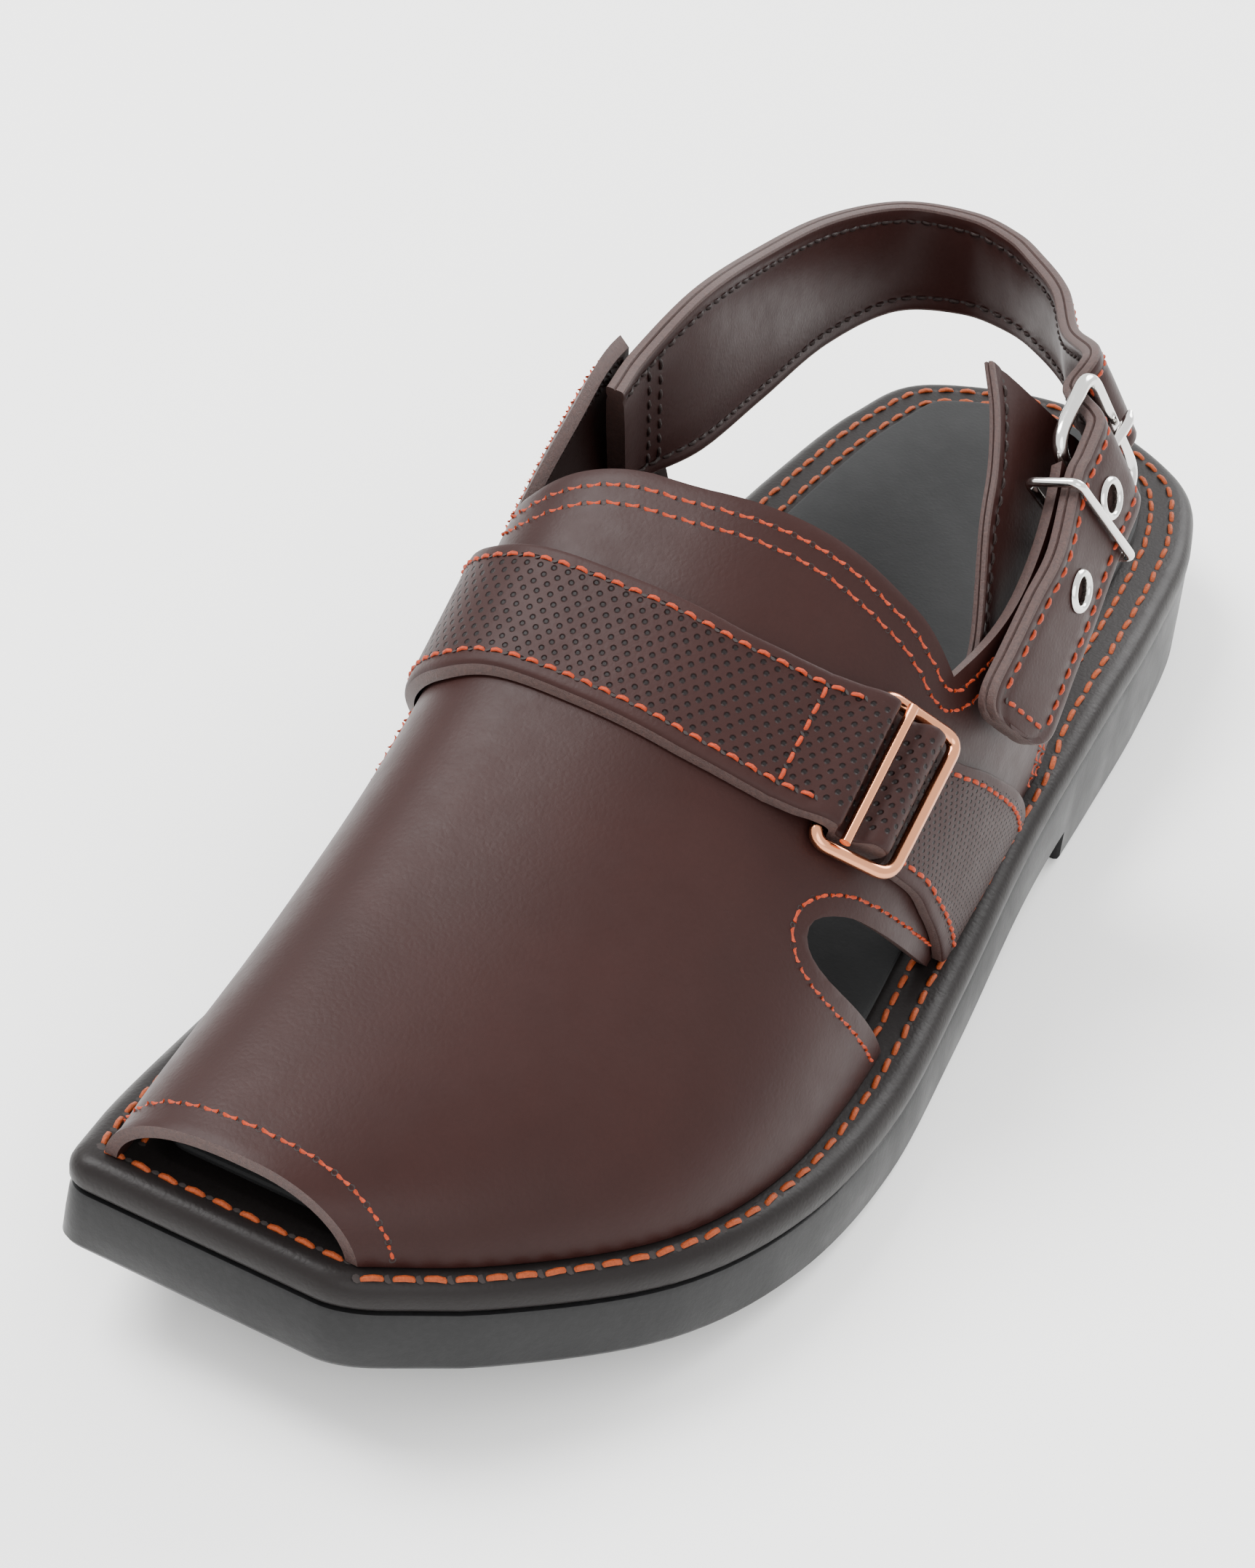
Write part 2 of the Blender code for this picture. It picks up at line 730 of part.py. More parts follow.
# The instep band crosses from the slide buckle over the crest to the medial base
BAND = (
    # turn, centre station, width as a share of the band width
    (0.000, 0.4983, 1.60),
    (0.080, 0.4500, 1.24),
    (0.115, 0.4320, 1.08),
    (0.160, 0.4080, 0.94),
    (0.210, 0.3900, 0.92),
    (0.270, 0.3715, 0.92),
    (0.318, 0.3610, 0.88),
    (0.362, 0.3530, 0.84),
    (0.417, 0.3470, 0.81),
    (0.560, 0.3450, 0.81),
    (0.660, 0.3480, 0.88),
    (0.780, 0.3700, 1.00),
    (0.900, 0.4120, 1.15),
    (1.000, 0.4560, 1.28),
)
ROLL_END = 0.196
BAND_END = 0.996
ANCHOR_END = 0.188
BAND_LIFT = (
    # turn, height of the underside, height of the face, both as shares of the band thickness
    (0.196, 0.60, 1.60),
    (0.200, 0.35, 2.20),
    (0.209, 0.20, 2.50),
    (0.220, 0.20, 2.40),
    (0.230, 0.20, 1.55),
    (0.243, 0.20, 1.20),
    (0.252, 0.45, 1.45),
    (0.259, 1.30, 2.28),
    (0.267, 1.50, 2.45),
    (0.278, 1.35, 2.32),
    (0.296, 0.70, 1.70),
    (0.322, 0.20, 1.20),
)


def band_place(turn, v, trim=1.0):
    station, share = table_at(BAND, turn)
    return (station_y(station) + (v - 0.5) * BAND_WIDTH * share * trim, turn)


def band_turn(u):
    """Turns of the band's rows, close together at the slide buckle."""
    near = 0.5
    if u < near:
        return ROLL_END + (0.33 - ROLL_END) * u / near
    return 0.33 + (BAND_END - 0.33) * (u - near) / (1 - near)


strip("instep_band", 48, 4, lambda u, v: band_place(band_turn(u), v),
      lambda turn: SEAT_GAP * 0.5 + table_at(BAND_LIFT, turn)[0] * BAND_THICKNESS * 0.9,
      lambda turn: SEAT_GAP * 0.5 + table_at(BAND_LIFT, turn)[1] * BAND_THICKNESS, PERFORATED)
strip("band_anchor", 8, 6, lambda u, v: band_place(0.004 + (ANCHOR_END - 0.004) * u, v, 1.02),
      lambda turn: SEAT_GAP, lambda turn: SEAT_GAP + BAND_THICKNESS, PERFORATED)

# The slide buckle lies on the lateral side, its bars across the band
LEFT_BAR = (0.267, 0.3730, 0.60)
RIGHT_BAR = (0.182, 0.3980, 1.70)
CENTRE_BAR = (0.2435, 0.3785, 1.75)
SLIDE_SPAN = 1.09


def slide_corner(bar, end):
    turn, station, lift = bar
    y = station_y(station) + end * BAND_WIDTH * SLIDE_SPAN / 2
    return upper_point(y, turn, SEAT_GAP + SLIDE_WIRE * 0.5 + BAND_THICKNESS * (lift - 0.5))


corners = [slide_corner(bar, end) for bar, end in ((LEFT_BAR, -1), (LEFT_BAR, 1), (RIGHT_BAR, 1), (RIGHT_BAR, -1))]
slide = []
for i, corner in enumerate(corners):
    reach = SLIDE_WIRE * 1.4
    before = corner + (corners[i - 1] - corner).normalized() * reach
    after = corner + (corners[(i + 1) % 4] - corner).normalized() * reach
    slide += [bezier(before, corner, after, k / 4) for k in range(5)]
wire("slide_frame", slide, SLIDE_WIRE, ROSE_GOLD, closed=True)
ends = [slide_corner(CENTRE_BAR, -0.94), slide_corner(CENTRE_BAR, 0.94)]
wire("slide_bar", ends, SLIDE_WIRE * 0.8, ROSE_GOLD)

# The strap buckle stands behind the end of the lateral tab
BUCKLE_AIM = Vector((-0.09, 0.935, 0.34))
BUCKLE_REACH = 0.600


def buckle_axes():
    """The buckle's middle and its axes: back along the strap, up across it, and outward."""
    high = wall_point(QUARTER_REAR[3][1], QUARTER_REAR[3][2], 0, -LEATHER / 2)
    low = wall_point(QUARTER_REAR[2][1], QUARTER_REAR[2][2], 0, -LEATHER / 2)
    up = (high - low).normalized()
    back = (BUCKLE_AIM - up * BUCKLE_AIM.dot(up)).normalized()
    out = back.cross(up)
    start = (high + low) / 2 + back * (BUCKLE_WIRE / 2 + SEAT_GAP * 2)
    return start + back * BUCKLE_LENGTH / 2, back, up, out


HEART, BACK, UP, OUT = buckle_axes()


def by_buckle(back, up, out):
    return HEART + BACK * back + UP * up + OUT * out


wire("buckle_frame", rounded_ring(HEART, BACK * BUCKLE_LENGTH / 2, UP * STRAP_WIDTH * BUCKLE_REACH, 0.0042),
     BUCKLE_WIRE, NICKEL, closed=True)

CLEAR = (STRAP_THICKNESS + BUCKLE_WIRE) / 2 + SEAT_GAP * 2
THROUGH = (
    # place behind the buckle's middle: share of half its length, then shares of the clear distance: back, out
    (1.0, 1.90, -0.80),
    (1.0, 0.00, -1.06),
    (1.0, -0.62, -0.84),
    (1.0, -1.43, 0.00),
    (1.0, -2.08, 0.72),
    (1.0, -2.75, 1.08),
    (-1.0, 0.00, 1.16),
    (-1.0, -1.40, 1.16),
)
FREE_END = (
    # station, height, stand-off as a share of the strap thickness, lean across, lean along, width share
    (0.571, 0.600, 0.85, -0.28, -0.36, 1.00),
    (0.545, 0.560, 0.90, -0.30, -0.45, 1.00),
    (0.518, 0.516, 1.05, -0.33, -0.55, 1.00),
    (0.500, 0.490, 1.20, -0.36, -0.61, 0.99),
    (0.491, 0.475, 1.28, -0.38, -0.64, 0.95),
    (0.486, 0.468, 1.32, -0.38, -0.64, 0.84),
)
HEEL_PATH = (
    # station, across as a share of the ball width, height as a share of the instep height, leans, width share
    (0.762, 0.140, 0.990, -0.28, -0.14, 1.00),
    (0.820, 0.052, 0.950, -0.26, -0.12, 1.00),
    (0.857, -0.046, 0.929, -0.21, -0.13, 1.00),
    (0.878, -0.126, 0.914, -0.12, -0.12, 1.00),
    (0.885, -0.227, 0.906, -0.04, -0.07, 1.02),
    (0.861, -0.342, 0.910, -0.05, -0.01, 1.08),
    (0.793, -0.399, 0.932, -0.09, 0.01, 1.24),
    (0.701, -0.402, 0.972, -0.10, 0.00, 1.42),
    (0.612, -0.391, 1.018, -0.08, -0.04, 1.50),
)
HEEL_START = (
    # station, height and leaning of the strap's end inside the medial tab
    (0.556, 0.722, 0.014),
    (0.524, 0.734, 0.022),
)


def inside_row(station, height, slant, side, thickness, share):
    """A strap row lying against the inner face of a quarter."""
    half = STRAP_WIDTH / INSTEP_HEIGHT * share / 2
    low = wall_point(station + slant, height - half, side, -LEATHER - SEAT_GAP * 2)
    high = wall_point(station - slant, height + half, side, -LEATHER - SEAT_GAP * 2)
    inward = Vector((side * 2 - 1, 0, 0)) * thickness * 0.55
    return ((low + high) / 2 + inward, high - low)


def leaning(across, along):
    return Vector((across, along, math.sqrt(1 - across * across - along * along)))


def strap_rows():
    rows = []
    for station, height, off, across, along, share in FREE_END[::-1]:
        centre = wall_point(station, height, 0, SEAT_GAP + STRAP_THICKNESS * off)
        rows.append((centre, leaning(across, along) * STRAP_WIDTH * share))
    for half, back, out in THROUGH[::-1]:
        rows.append((by_buckle(half * BUCKLE_LENGTH / 2 + back * CLEAR, 0, out * CLEAR), UP * STRAP_WIDTH))
    for station, across, height, lean_x, lean_y, share in HEEL_PATH:
        centre = Vector((across * BALL_WIDTH, station_y(station), height * INSTEP_HEIGHT))
        rows.append((centre, leaning(lean_x, lean_y) * STRAP_WIDTH * share))
    for station, height, slant in HEEL_START:
        rows.append(inside_row(station, height, slant, 1, STRAP_THICKNESS, 1.48))
    centres = catmull([row[0] for row in rows], 4)
    widths = catmull([row[1] for row in rows], 4)
    return list(zip(centres, widths))


STRAP_ROWS = strap_rows()
STRAP = ribbon("heel_strap", STRAP_ROWS, STRAP_THICKNESS, BROWN)


def on_strap(distance):
    """Centre and axes of the strap at a distance from its free tip."""
    gone = 0.0
    for (a, wide), (b, _) in zip(STRAP_ROWS, STRAP_ROWS[1:]):
        step = (b - a).length
        if gone + step >= distance:
            along = (b - a).normalized()
            up = wide.normalized()
            return a.lerp(b, (distance - gone) / step), along, up, along.cross(up).normalized()
        gone += step


def flat_ring(middle, a, b, radius, count):
    turns = [2 * math.pi * k / count for k in range(count)]
    return [middle + (a * math.cos(turn) + b * math.sin(turn)) * radius for turn in turns]


EYELET_ONE = -1.06
EYELET_TWO = 1.36
first = (by_buckle(EYELET_ONE * BUCKLE_LENGTH / 2, 0, CLEAR * 1.16), BACK, UP, OUT)
for number, (middle, along, up, out) in enumerate((first, on_strap(EYELET_TWO * STRAP_WIDTH)), 1):
    up = out.cross(along)
    hole = flat_ring(middle - out * STRAP_THICKNESS, along, up, EYELET_RADIUS - EYELET_WIRE * 0.7, 12)
    cut(STRAP, prism("hole_%d" % number, hole, out * STRAP_THICKNESS * 2))
    face = middle + out * (STRAP_THICKNESS / 2 + EYELET_WIRE / 2 + SEAT_GAP * 0.5)
    wire("eyelet_%d" % number, flat_ring(face, along, up, EYELET_RADIUS, 16), EYELET_WIRE, NICKEL, True, 6)

# The prong turns on the front bar, passes through the strap and rests on the rear bar
LOOP = (BUCKLE_WIRE + PRONG_WIRE) / 2 + SEAT_GAP
PRONG = (
    # share of half the buckle's length, then shares of the loop radius: back, out
    (-1.0, -0.50, -0.87),
    (-1.0, 0.00, -1.00),
    (-1.0, 0.60, -0.80),
    (-1.0, 0.98, -0.22),
    (-1.0, 1.70, 0.20),
    (0.0, -0.80, 0.36),
    (0.0, 0.60, 0.50),
    (1.0, -1.70, 0.78),
    (1.0, 0.00, 1.06),
    (1.0, 1.00, 0.95),
)
knots = [by_buckle(half * BUCKLE_LENGTH / 2 + back * LOOP, 0, out * LOOP) for half, back, out in PRONG]
wire("buckle_prong", catmull(knots, 2), PRONG_WIRE, NICKEL, sides=8)
slot = [by_buckle(back, up, -0.3 * CLEAR) for back, up in (
    (-0.20 * BUCKLE_LENGTH / 2, -PRONG_WIRE * 0.7), (0.62 * BUCKLE_LENGTH / 2, -PRONG_WIRE * 0.7),
    (0.62 * BUCKLE_LENGTH / 2, PRONG_WIRE * 0.7), (-0.20 * BUCKLE_LENGTH / 2, PRONG_WIRE * 0.7))]
cut(STRAP, prism("prong_hole", slot, OUT * CLEAR * 1.35))

# The keeper is a wire ring round the tab and the free end
KEEPER_SLANT = 0.20
KEEPER_PLACE = 1.66
ring_up = (UP + BACK * -KEEPER_SLANT).normalized()
keeper_in = -(LEATHER / 2 + SEAT_GAP * 2 + KEEPER_WIRE / 2)
keeper_out = CLEAR * 1.16 + STRAP_THICKNESS / 2 + SEAT_GAP + KEEPER_WIRE / 2
keeper_middle = by_buckle(-KEEPER_PLACE * BUCKLE_LENGTH / 2, 0, (keeper_in + keeper_out) / 2)
keeper_ring = rounded_ring(keeper_middle, OUT * (keeper_out - keeper_in) / 2,
                           ring_up * (STRAP_WIDTH / 2 + KEEPER_WIRE), 0.0016)
wire("strap_keeper", keeper_ring, KEEPER_WIRE, NICKEL, True, 6)

# The guard is a leather tongue between the buckle and the ankle
GUARD_SHARE = 1.25
GUARD_START = (
    # station, height inside the lateral quarter
    (0.500, 0.400),
    (0.525, 0.450),
)
GUARD_PATH = (
    # places by the buckle as shares of its length: back, up, out, then leans across and along
    (-1.60, 0.05, -0.360, -0.30, -0.50),
    (-0.98, 0.29, -0.370, -0.34, -0.52),
    (-0.42, 0.54, -0.400, -0.42, -0.53),
    (0.05, 0.77, -0.470, -0.52, -0.53),
)
rows = []
for station, height in GUARD_START:
    rows.append(inside_row(station, height, 0.015, 0, GUARD_THICKNESS * 1.5, 1.15))
for back, up, out, across, along in GUARD_PATH:
    centre = by_buckle(back * BUCKLE_LENGTH, up * BUCKLE_LENGTH, out * BUCKLE_LENGTH)
    rows.append((centre, leaning(across, along) * STRAP_WIDTH * GUARD_SHARE))
centres = catmull([row[0] for row in rows], 4)
widths = catmull([row[1] for row in rows], 4)
ribbon("buckle_guard", list(zip(centres, widths)), GUARD_THICKNESS, BROWN)
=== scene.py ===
"""Left peshawari chappal: leather, stitching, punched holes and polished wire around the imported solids.

Metres, +Z up. The toe points to -Y, the wearer's left (lateral) side is +X, the floor is Z = 0.
"""
import math
import random

import bmesh
import bpy
from mathutils import Matrix, Quaternion, Vector
from mathutils.bvhtree import BVHTree


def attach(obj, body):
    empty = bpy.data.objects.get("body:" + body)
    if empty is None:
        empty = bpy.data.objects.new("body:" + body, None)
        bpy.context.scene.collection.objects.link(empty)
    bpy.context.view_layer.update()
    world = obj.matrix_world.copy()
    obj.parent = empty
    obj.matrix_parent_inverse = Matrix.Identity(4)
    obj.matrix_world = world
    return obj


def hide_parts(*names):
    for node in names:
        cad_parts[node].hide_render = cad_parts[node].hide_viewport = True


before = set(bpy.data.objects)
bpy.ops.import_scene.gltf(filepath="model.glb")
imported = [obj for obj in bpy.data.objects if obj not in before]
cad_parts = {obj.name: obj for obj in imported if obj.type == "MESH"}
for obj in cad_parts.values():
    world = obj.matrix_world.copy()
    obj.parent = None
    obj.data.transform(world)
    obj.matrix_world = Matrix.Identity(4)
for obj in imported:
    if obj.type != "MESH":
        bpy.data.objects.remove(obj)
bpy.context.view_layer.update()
RANDOM = random.Random(11)

# Sole
SOLE_LENGTH = 0.290
BALL_WIDTH = 0.0992
FOREFOOT_HEIGHT = 0.0170
HEEL_HEIGHT = 0.0256
TOE_SPRING = 0.0160
WAIST_RISE = 0.0062
RAND_THICKNESS = 0.0060
RAND_ROUND = 0.0034
WALL_FLARE = 0.0008
TOE_CORNER = 0.0040
INSOLE_THICKNESS = 0.0016
INSOLE_INSET = 0.0118
SEAT_GAP = 0.0003

# Upper
LEATHER = 0.0020
BASE_INSET = 0.0066
INSTEP_HEIGHT = 0.0720
BAND_WIDTH = 0.0230
BAND_THICKNESS = 0.0022
SLOT_LENGTH = 0.0225
SLOT_HEIGHT = 0.0310

# Heel strap and metal
STRAP_WIDTH = 0.0205
STRAP_THICKNESS = 0.0032
GUARD_THICKNESS = 0.0020
SLIDE_WIRE = 0.0022
BUCKLE_LENGTH = 0.0160
BUCKLE_WIRE = 0.0025
PRONG_WIRE = 0.0020
KEEPER_WIRE = 0.0016
EYELET_RADIUS = 0.0029
EYELET_WIRE = 0.0014

HALF_LENGTH = SOLE_LENGTH / 2
SIDE_SAMPLES = 84
TOE_SPANS = 12
CORNER_STEPS = 5
HEEL_SAMPLES = 32
STRAP_STEPS = 12

# Sole outline: station from the toe as a share of the length, then each side as a share of the ball width
OUTLINE = (
    # station, lateral, medial
    (0.060, 0.232, 0.432),
    (0.140, 0.404, 0.462),
    (0.230, 0.486, 0.486),
    (0.330, 0.500, 0.500),
    (0.440, 0.466, 0.496),
    (0.560, 0.425, 0.478),
    (0.680, 0.403, 0.458),
    (0.790, 0.379, 0.450),
    (0.890, 0.333, 0.425),
    (0.960, 0.222, 0.348),
)
LATERAL_CORNER = (0.0075, 0.066)
MEDIAL_CORNER = (0.0, -0.393)
HEEL_TIP = (1.0, -0.063)

SPRING_START = 0.34
SPRING_POWER = 1.5
WAIST_START = 0.42
HEEL_BREAST = 0.632
RAMP_START = 0.38
RAMP_END = 0.73

# Upper sections: crown height is a share of the instep height, crest place a share of the ball width, base a
# share of the base inset on the lateral side, and the leans are outward shifts as shares of the height
SECTIONS = (
    # station, crown, crest, lateral_power, medial_power, rise_power, lateral_lean, medial_lean, base
    (0.020, 0.155, -0.115, 2.2, 2.6, 1.9, 0.00, 0.00, 0.62),
    (0.090, 0.275, -0.120, 2.2, 2.8, 1.9, 0.00, 0.02, 0.64),
    (0.190, 0.440, -0.125, 2.2, 3.0, 2.0, 0.00, 0.05, 0.78),
    (0.300, 0.655, -0.130, 2.2, 3.3, 2.0, 0.00, 0.09, 1.05),
    (0.400, 0.880, -0.135, 2.2, 3.9, 2.1, 0.01, 0.13, 1.12),
    (0.470, 1.010, -0.135, 2.3, 4.4, 2.2, 0.02, 0.16, 1.00),
    (0.540, 1.100, -0.120, 2.3, 4.6, 2.3, 0.06, 0.18, 0.85),
    (0.630, 1.090, -0.090, 2.2, 4.6, 2.4, 0.11, 0.18, 0.80),
    (0.760, 1.100, -0.060, 2.2, 4.6, 2.4, 0.12, 0.18, 0.80),
)


def smooth(t):
    t = min(max(t, 0.0), 1.0)
    return t * t * (3.0 - 2.0 * t)


def station_y(share):
    return -HALF_LENGTH + share * SOLE_LENGTH


def share_of(y):
    return (y + HALF_LENGTH) / SOLE_LENGTH


def catmull(points, per_span):
    """A smooth open curve through the points."""
    ends = [points[0] * 2 - points[1]] + list(points) + [points[-1] * 2 - points[-2]]
    curve = []
    for i in range(1, len(ends) - 2):
        p0, p1, p2, p3 = ends[i - 1:i + 3]
        for k in range(per_span):
            t = k / per_span
            a = 2 * p1
            b = (p2 - p0) * t
            c = (2 * p0 - 5 * p1 + 4 * p2 - p3) * t * t
            d = (3 * p1 - 3 * p2 + p3 - p0) * t ** 3
            curve.append((a + b + c + d) / 2)
    curve.append(points[-1].copy())
    return curve


def table_at(rows, share):
    """Each column of a table of sections at a station, smoothly between its rows."""
    if share <= rows[0][0]:
        return list(rows[0][1:])
    for i in range(len(rows) - 1):
        if share <= rows[i + 1][0]:
            break
    else:
        return list(rows[-1][1:])
    low, high = rows[i], rows[i + 1]
    before, after = rows[max(i - 1, 0)], rows[min(i + 2, len(rows) - 1)]
    span = high[0] - low[0]
    t = (share - low[0]) / span
    values = []
    for k in range(1, len(low)):
        m0 = (high[k] - before[k]) / (high[0] - before[0]) * span
        m1 = (after[k] - low[k]) / (after[0] - low[0]) * span
        value = (2 * t ** 3 - 3 * t ** 2 + 1) * low[k] + (t ** 3 - 2 * t ** 2 + t) * m0
        value += (3 * t ** 2 - 2 * t ** 3) * high[k] + (t ** 3 - t ** 2) * m1
        values.append(value)
    return values


def raw_edge():
    """The outline as one curve from the lateral toe corner round the heel to the medial toe corner."""
    lateral = [Vector((row[1] * BALL_WIDTH, station_y(row[0]))) for row in OUTLINE]
    medial = [Vector((-row[2] * BALL_WIDTH, station_y(row[0]))) for row in OUTLINE]
    first = Vector((LATERAL_CORNER[1] * BALL_WIDTH, station_y(LATERAL_CORNER[0])))
    last = Vector((MEDIAL_CORNER[1] * BALL_WIDTH, station_y(MEDIAL_CORNER[0])))
    tip = Vector((HEEL_TIP[1] * BALL_WIDTH, station_y(HEEL_TIP[0])))
    return catmull([first] + lateral + [tip] + medial[::-1] + [last], 12)


EDGE = raw_edge()
MIDDLE_X = (max(p.x for p in EDGE) + min(p.x for p in EDGE)) / 2
MIDDLE_Y = (max(p.y for p in EDGE) + min(p.y for p in EDGE)) / 2
EDGE = [p - Vector((MIDDLE_X, MIDDLE_Y)) for p in EDGE]


def inset_edge(inset):
    """The edge moved inward, cut off at the toe line that is moved inward too: lateral and medial sides."""
    count = len(EDGE)
    moved = []
    for i, p in enumerate(EDGE):
        along = (EDGE[min(i + 1, count - 1)] - EDGE[max(i - 1, 0)]).normalized()
        moved.append(p + Vector((-along.y, along.x)) * inset)
    toe_line = (EDGE[-1] - EDGE[0]).normalized()
    inward = Vector((toe_line.y, -toe_line.x))

    def depth(p):
        return (p - EDGE[0]).dot(inward) - inset

    tip = max(range(count), key=lambda i: moved[i].y)
    sides = []
    for side in (moved[:tip + 1], moved[tip:][::-1]):
        i = 0
        while depth(side[i + 1]) <= 0:
            i += 1
        a, b = side[i], side[i + 1]
        gap = depth(b) - depth(a)
        t = -depth(a) / gap if depth(a) < 0 else 0.0
        corner = a.lerp(b, t) if depth(a) < 0 else a - (b - a).normalized() * depth(a)
        sides.append([corner] + side[i + 1:])
    return sides


EDGES = {}


def sides_of(inset):
    key = round(inset, 6)
    if key not in EDGES:
        EDGES[key] = inset_edge(inset)
    return EDGES[key]


def point_at_y(side, y):
    for a, b in zip(side, side[1:]):
        if b.y >= y:
            t = (y - a.y) / max(b.y - a.y, 1e-9)
            return a.lerp(b, min(max(t, 0.0), 1.0))
    return side[-1].copy()


def side_x(y, inset, side):
    """The place across the shoe of the inset edge: side 0 is lateral, side 1 medial."""
    return point_at_y(sides_of(inset)[side], y).x


def bezier(a, b, c, t):
    return a * (1 - t) ** 2 + b * 2 * t * (1 - t) + c * t * t


def row_places():
    """Places along the shoe of the sole's rows, with a pair at the heel breast."""
    last = station_y(0.875)
    rows = [station_y(0.05) + (last - station_y(0.05)) * i / (SIDE_SAMPLES - 1) for i in range(SIDE_SAMPLES)]
    breast = station_y(HEEL_BREAST)
    rows = [y for y in rows if abs(y - breast) > SOLE_LENGTH * 0.008]
    rows += [breast - 0.0004, breast + 0.0004]
    return sorted(rows)


def run_lengths(points):
    """The length of a path up to each of its points."""
    lengths = [0.0]
    for a, b in zip(points, points[1:]):
        lengths.append(lengths[-1] + (b - a).length)
    return lengths


def loop_rows(inset):
    """Rows of the inset outline: a list of (lateral, medial) points from the toe back, and the toe edge."""
    lateral, medial = sides_of(inset)
    rounds = []
    for side, other in ((lateral, medial), (medial, lateral)):
        across = (other[0] - side[0]).normalized() * TOE_CORNER
        back = point_at_y(side, side[0].y + TOE_CORNER)
        rounds.append((side[0] + across, side[0], back))
    rows = []
    for k in range(CORNER_STEPS + 1):
        rows.append(tuple(bezier(*points, 0.5 + 0.5 * k / CORNER_STEPS) for points in rounds))
    for y in row_places():
        rows.append((point_at_y(lateral, y), point_at_y(medial, y)))
    tails = []
    for side in (lateral, medial):
        start = rows[-1][0] if side is lateral else rows[-1][1]
        tail = [start] + [p for p in side if p.y > start.y + 1e-6]
        lengths = run_lengths(tail)
        points = []
        for i in range(1, HEEL_SAMPLES + 1):
            goal = lengths[-1] * i / HEEL_SAMPLES
            k = next(k for k in range(1, len(tail)) if lengths[k] >= goal - 1e-9)
            t = (goal - lengths[k - 1]) / (lengths[k] - lengths[k - 1])
            points.append(tail[k - 1].lerp(tail[k], t))
        tails.append(points)
    rows += list(zip(*tails))
    toe = [bezier(*rounds[0], 0.5 - 0.5 * k / CORNER_STEPS) for k in range(CORNER_STEPS)]
    start, end = rounds[0][0], rounds[1][0]
    toe += [start.lerp(end, i / TOE_SPANS) for i in range(TOE_SPANS + 1)]
    toe += [bezier(*rounds[1], 0.5 * k / CORNER_STEPS) for k in range(1, CORNER_STEPS + 1)]
    return rows, toe


def spring_at(y):
    share = (SPRING_START - share_of(y)) / SPRING_START
    return TOE_SPRING * max(share, 0.0) ** SPRING_POWER


def floor_at(y):
    """The sole's underside: toe spring, flat tread, waist and flat heel."""
    share = share_of(y)
    if share < WAIST_START or share > HEEL_BREAST:
        return spring_at(y)
    return WAIST_RISE * smooth((share - WAIST_START) / (HEEL_BREAST - WAIST_START))


def top_at(y):
    """The rand's upper face."""
    ramp = smooth((share_of(y) - RAMP_START) / (RAMP_END - RAMP_START))
    return FOREFOOT_HEIGHT + (HEEL_HEIGHT - FOREFOOT_HEIGHT) * ramp + spring_at(y)


def add_piece(name, points, faces, mats, slots=None, smooth_angle=40):
    """A mesh piece with its materials; slots gives each face's material."""
    mesh = bpy.data.meshes.new(name)
    mesh.from_pydata([tuple(p) for p in points], [], faces)
    for mat in mats:
        mesh.materials.append(mat)
    if slots:
        mesh.polygons.foreach_set("material_index", slots)
    mesh.shade_smooth()
    mesh.set_sharp_from_angle(angle=math.radians(smooth_angle))
    piece = bpy.data.objects.new(name, mesh)
    bpy.context.scene.collection.objects.link(piece)
    return piece


def dress(piece, slot, *nodes):
    """The piece rides on the shoe and stands for the nodes, which it hides; the slot is not used."""
    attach(piece, "root")
    if nodes:
        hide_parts(*nodes)
    return piece


def slab(name, rings, mats):
    """A closed slab from rings of (inset, height function), lowest first."""
    points, faces, layers = [], [], []
    for inset, height in rings:
        rows, toe = loop_rows(inset)
        loop = [row[0] for row in rows] + [row[1] for row in rows[-2::-1]] + toe[-2:0:-1]
        layers.append((len(points), rows, toe))
        points += [(p.x, p.y, height(p.y)) for p in loop]
        count = len(loop)
    for low in range(len(rings) - 1):
        a, b = low * count, (low + 1) * count
        for i in range(count):
            j = (i + 1) % count
            faces.append((a + i, a + j, b + j, b + i))
    for layer, upward in ((0, False), (len(rings) - 1, True)):
        base, rows, toe = layers[layer]
        height = rings[layer][1]
        across = len(toe) - 1
        grid = []
        size = len(rows)
        for r, (left, right) in enumerate(rows):
            if r == 0:
                line = [base] + [base + count - k for k in range(1, across)] + [base + 2 * size - 2]
            elif r == size - 1:
                line = [base + r] * (across + 1)
            else:
                line = [base + r]
                for k in range(1, across):
                    p = left.lerp(right, k / across)
                    line.append(len(points))
                    points.append((p.x, p.y, height(p.y)))
                line.append(base + 2 * size - 2 - r)
            grid.append(line)
        for r in range(size - 1):
            for k in range(across):
                quad = [grid[r][k], grid[r][k + 1], grid[r + 1][k + 1], grid[r + 1][k]]
                corners = list(dict.fromkeys(quad))
                faces.append(tuple(corners[::-1] if upward else corners))
    return add_piece(name, points, faces, mats)


def shell(name, outer, inner, quads, mats, smooth_angle=50):
    """A closed wall between two point grids: outer face, inner face and cut edge have their own materials."""
    count = len(outer)
    faces, slots = [], []
    edges = {}
    for quad in quads:
        faces.append(tuple(quad))
        faces.append(tuple(count + i for i in reversed(quad)))
        slots += [0, 1]
        for a, b in zip(quad, quad[1:] + quad[:1]):
            edges[(a, b)] = True
    for a, b in edges:
        if (b, a) not in edges:
            faces.append((b, a, count + a, count + b))
            slots.append(2)
    return add_piece(name, list(outer) + list(inner), faces, mats, slots, smooth_angle)


def base_x(y, side, share):
    """The place across the shoe of the upper's base, moved in by a share of the base inset."""
    near, far = 0.6, 1.2
    if side == 1:
        return side_x(y, BASE_INSET, 1)
    a, b = side_x(y, BASE_INSET * near, 0), side_x(y, BASE_INSET * far, 0)
    return a + (b - a) * (share - near) / (far - near)


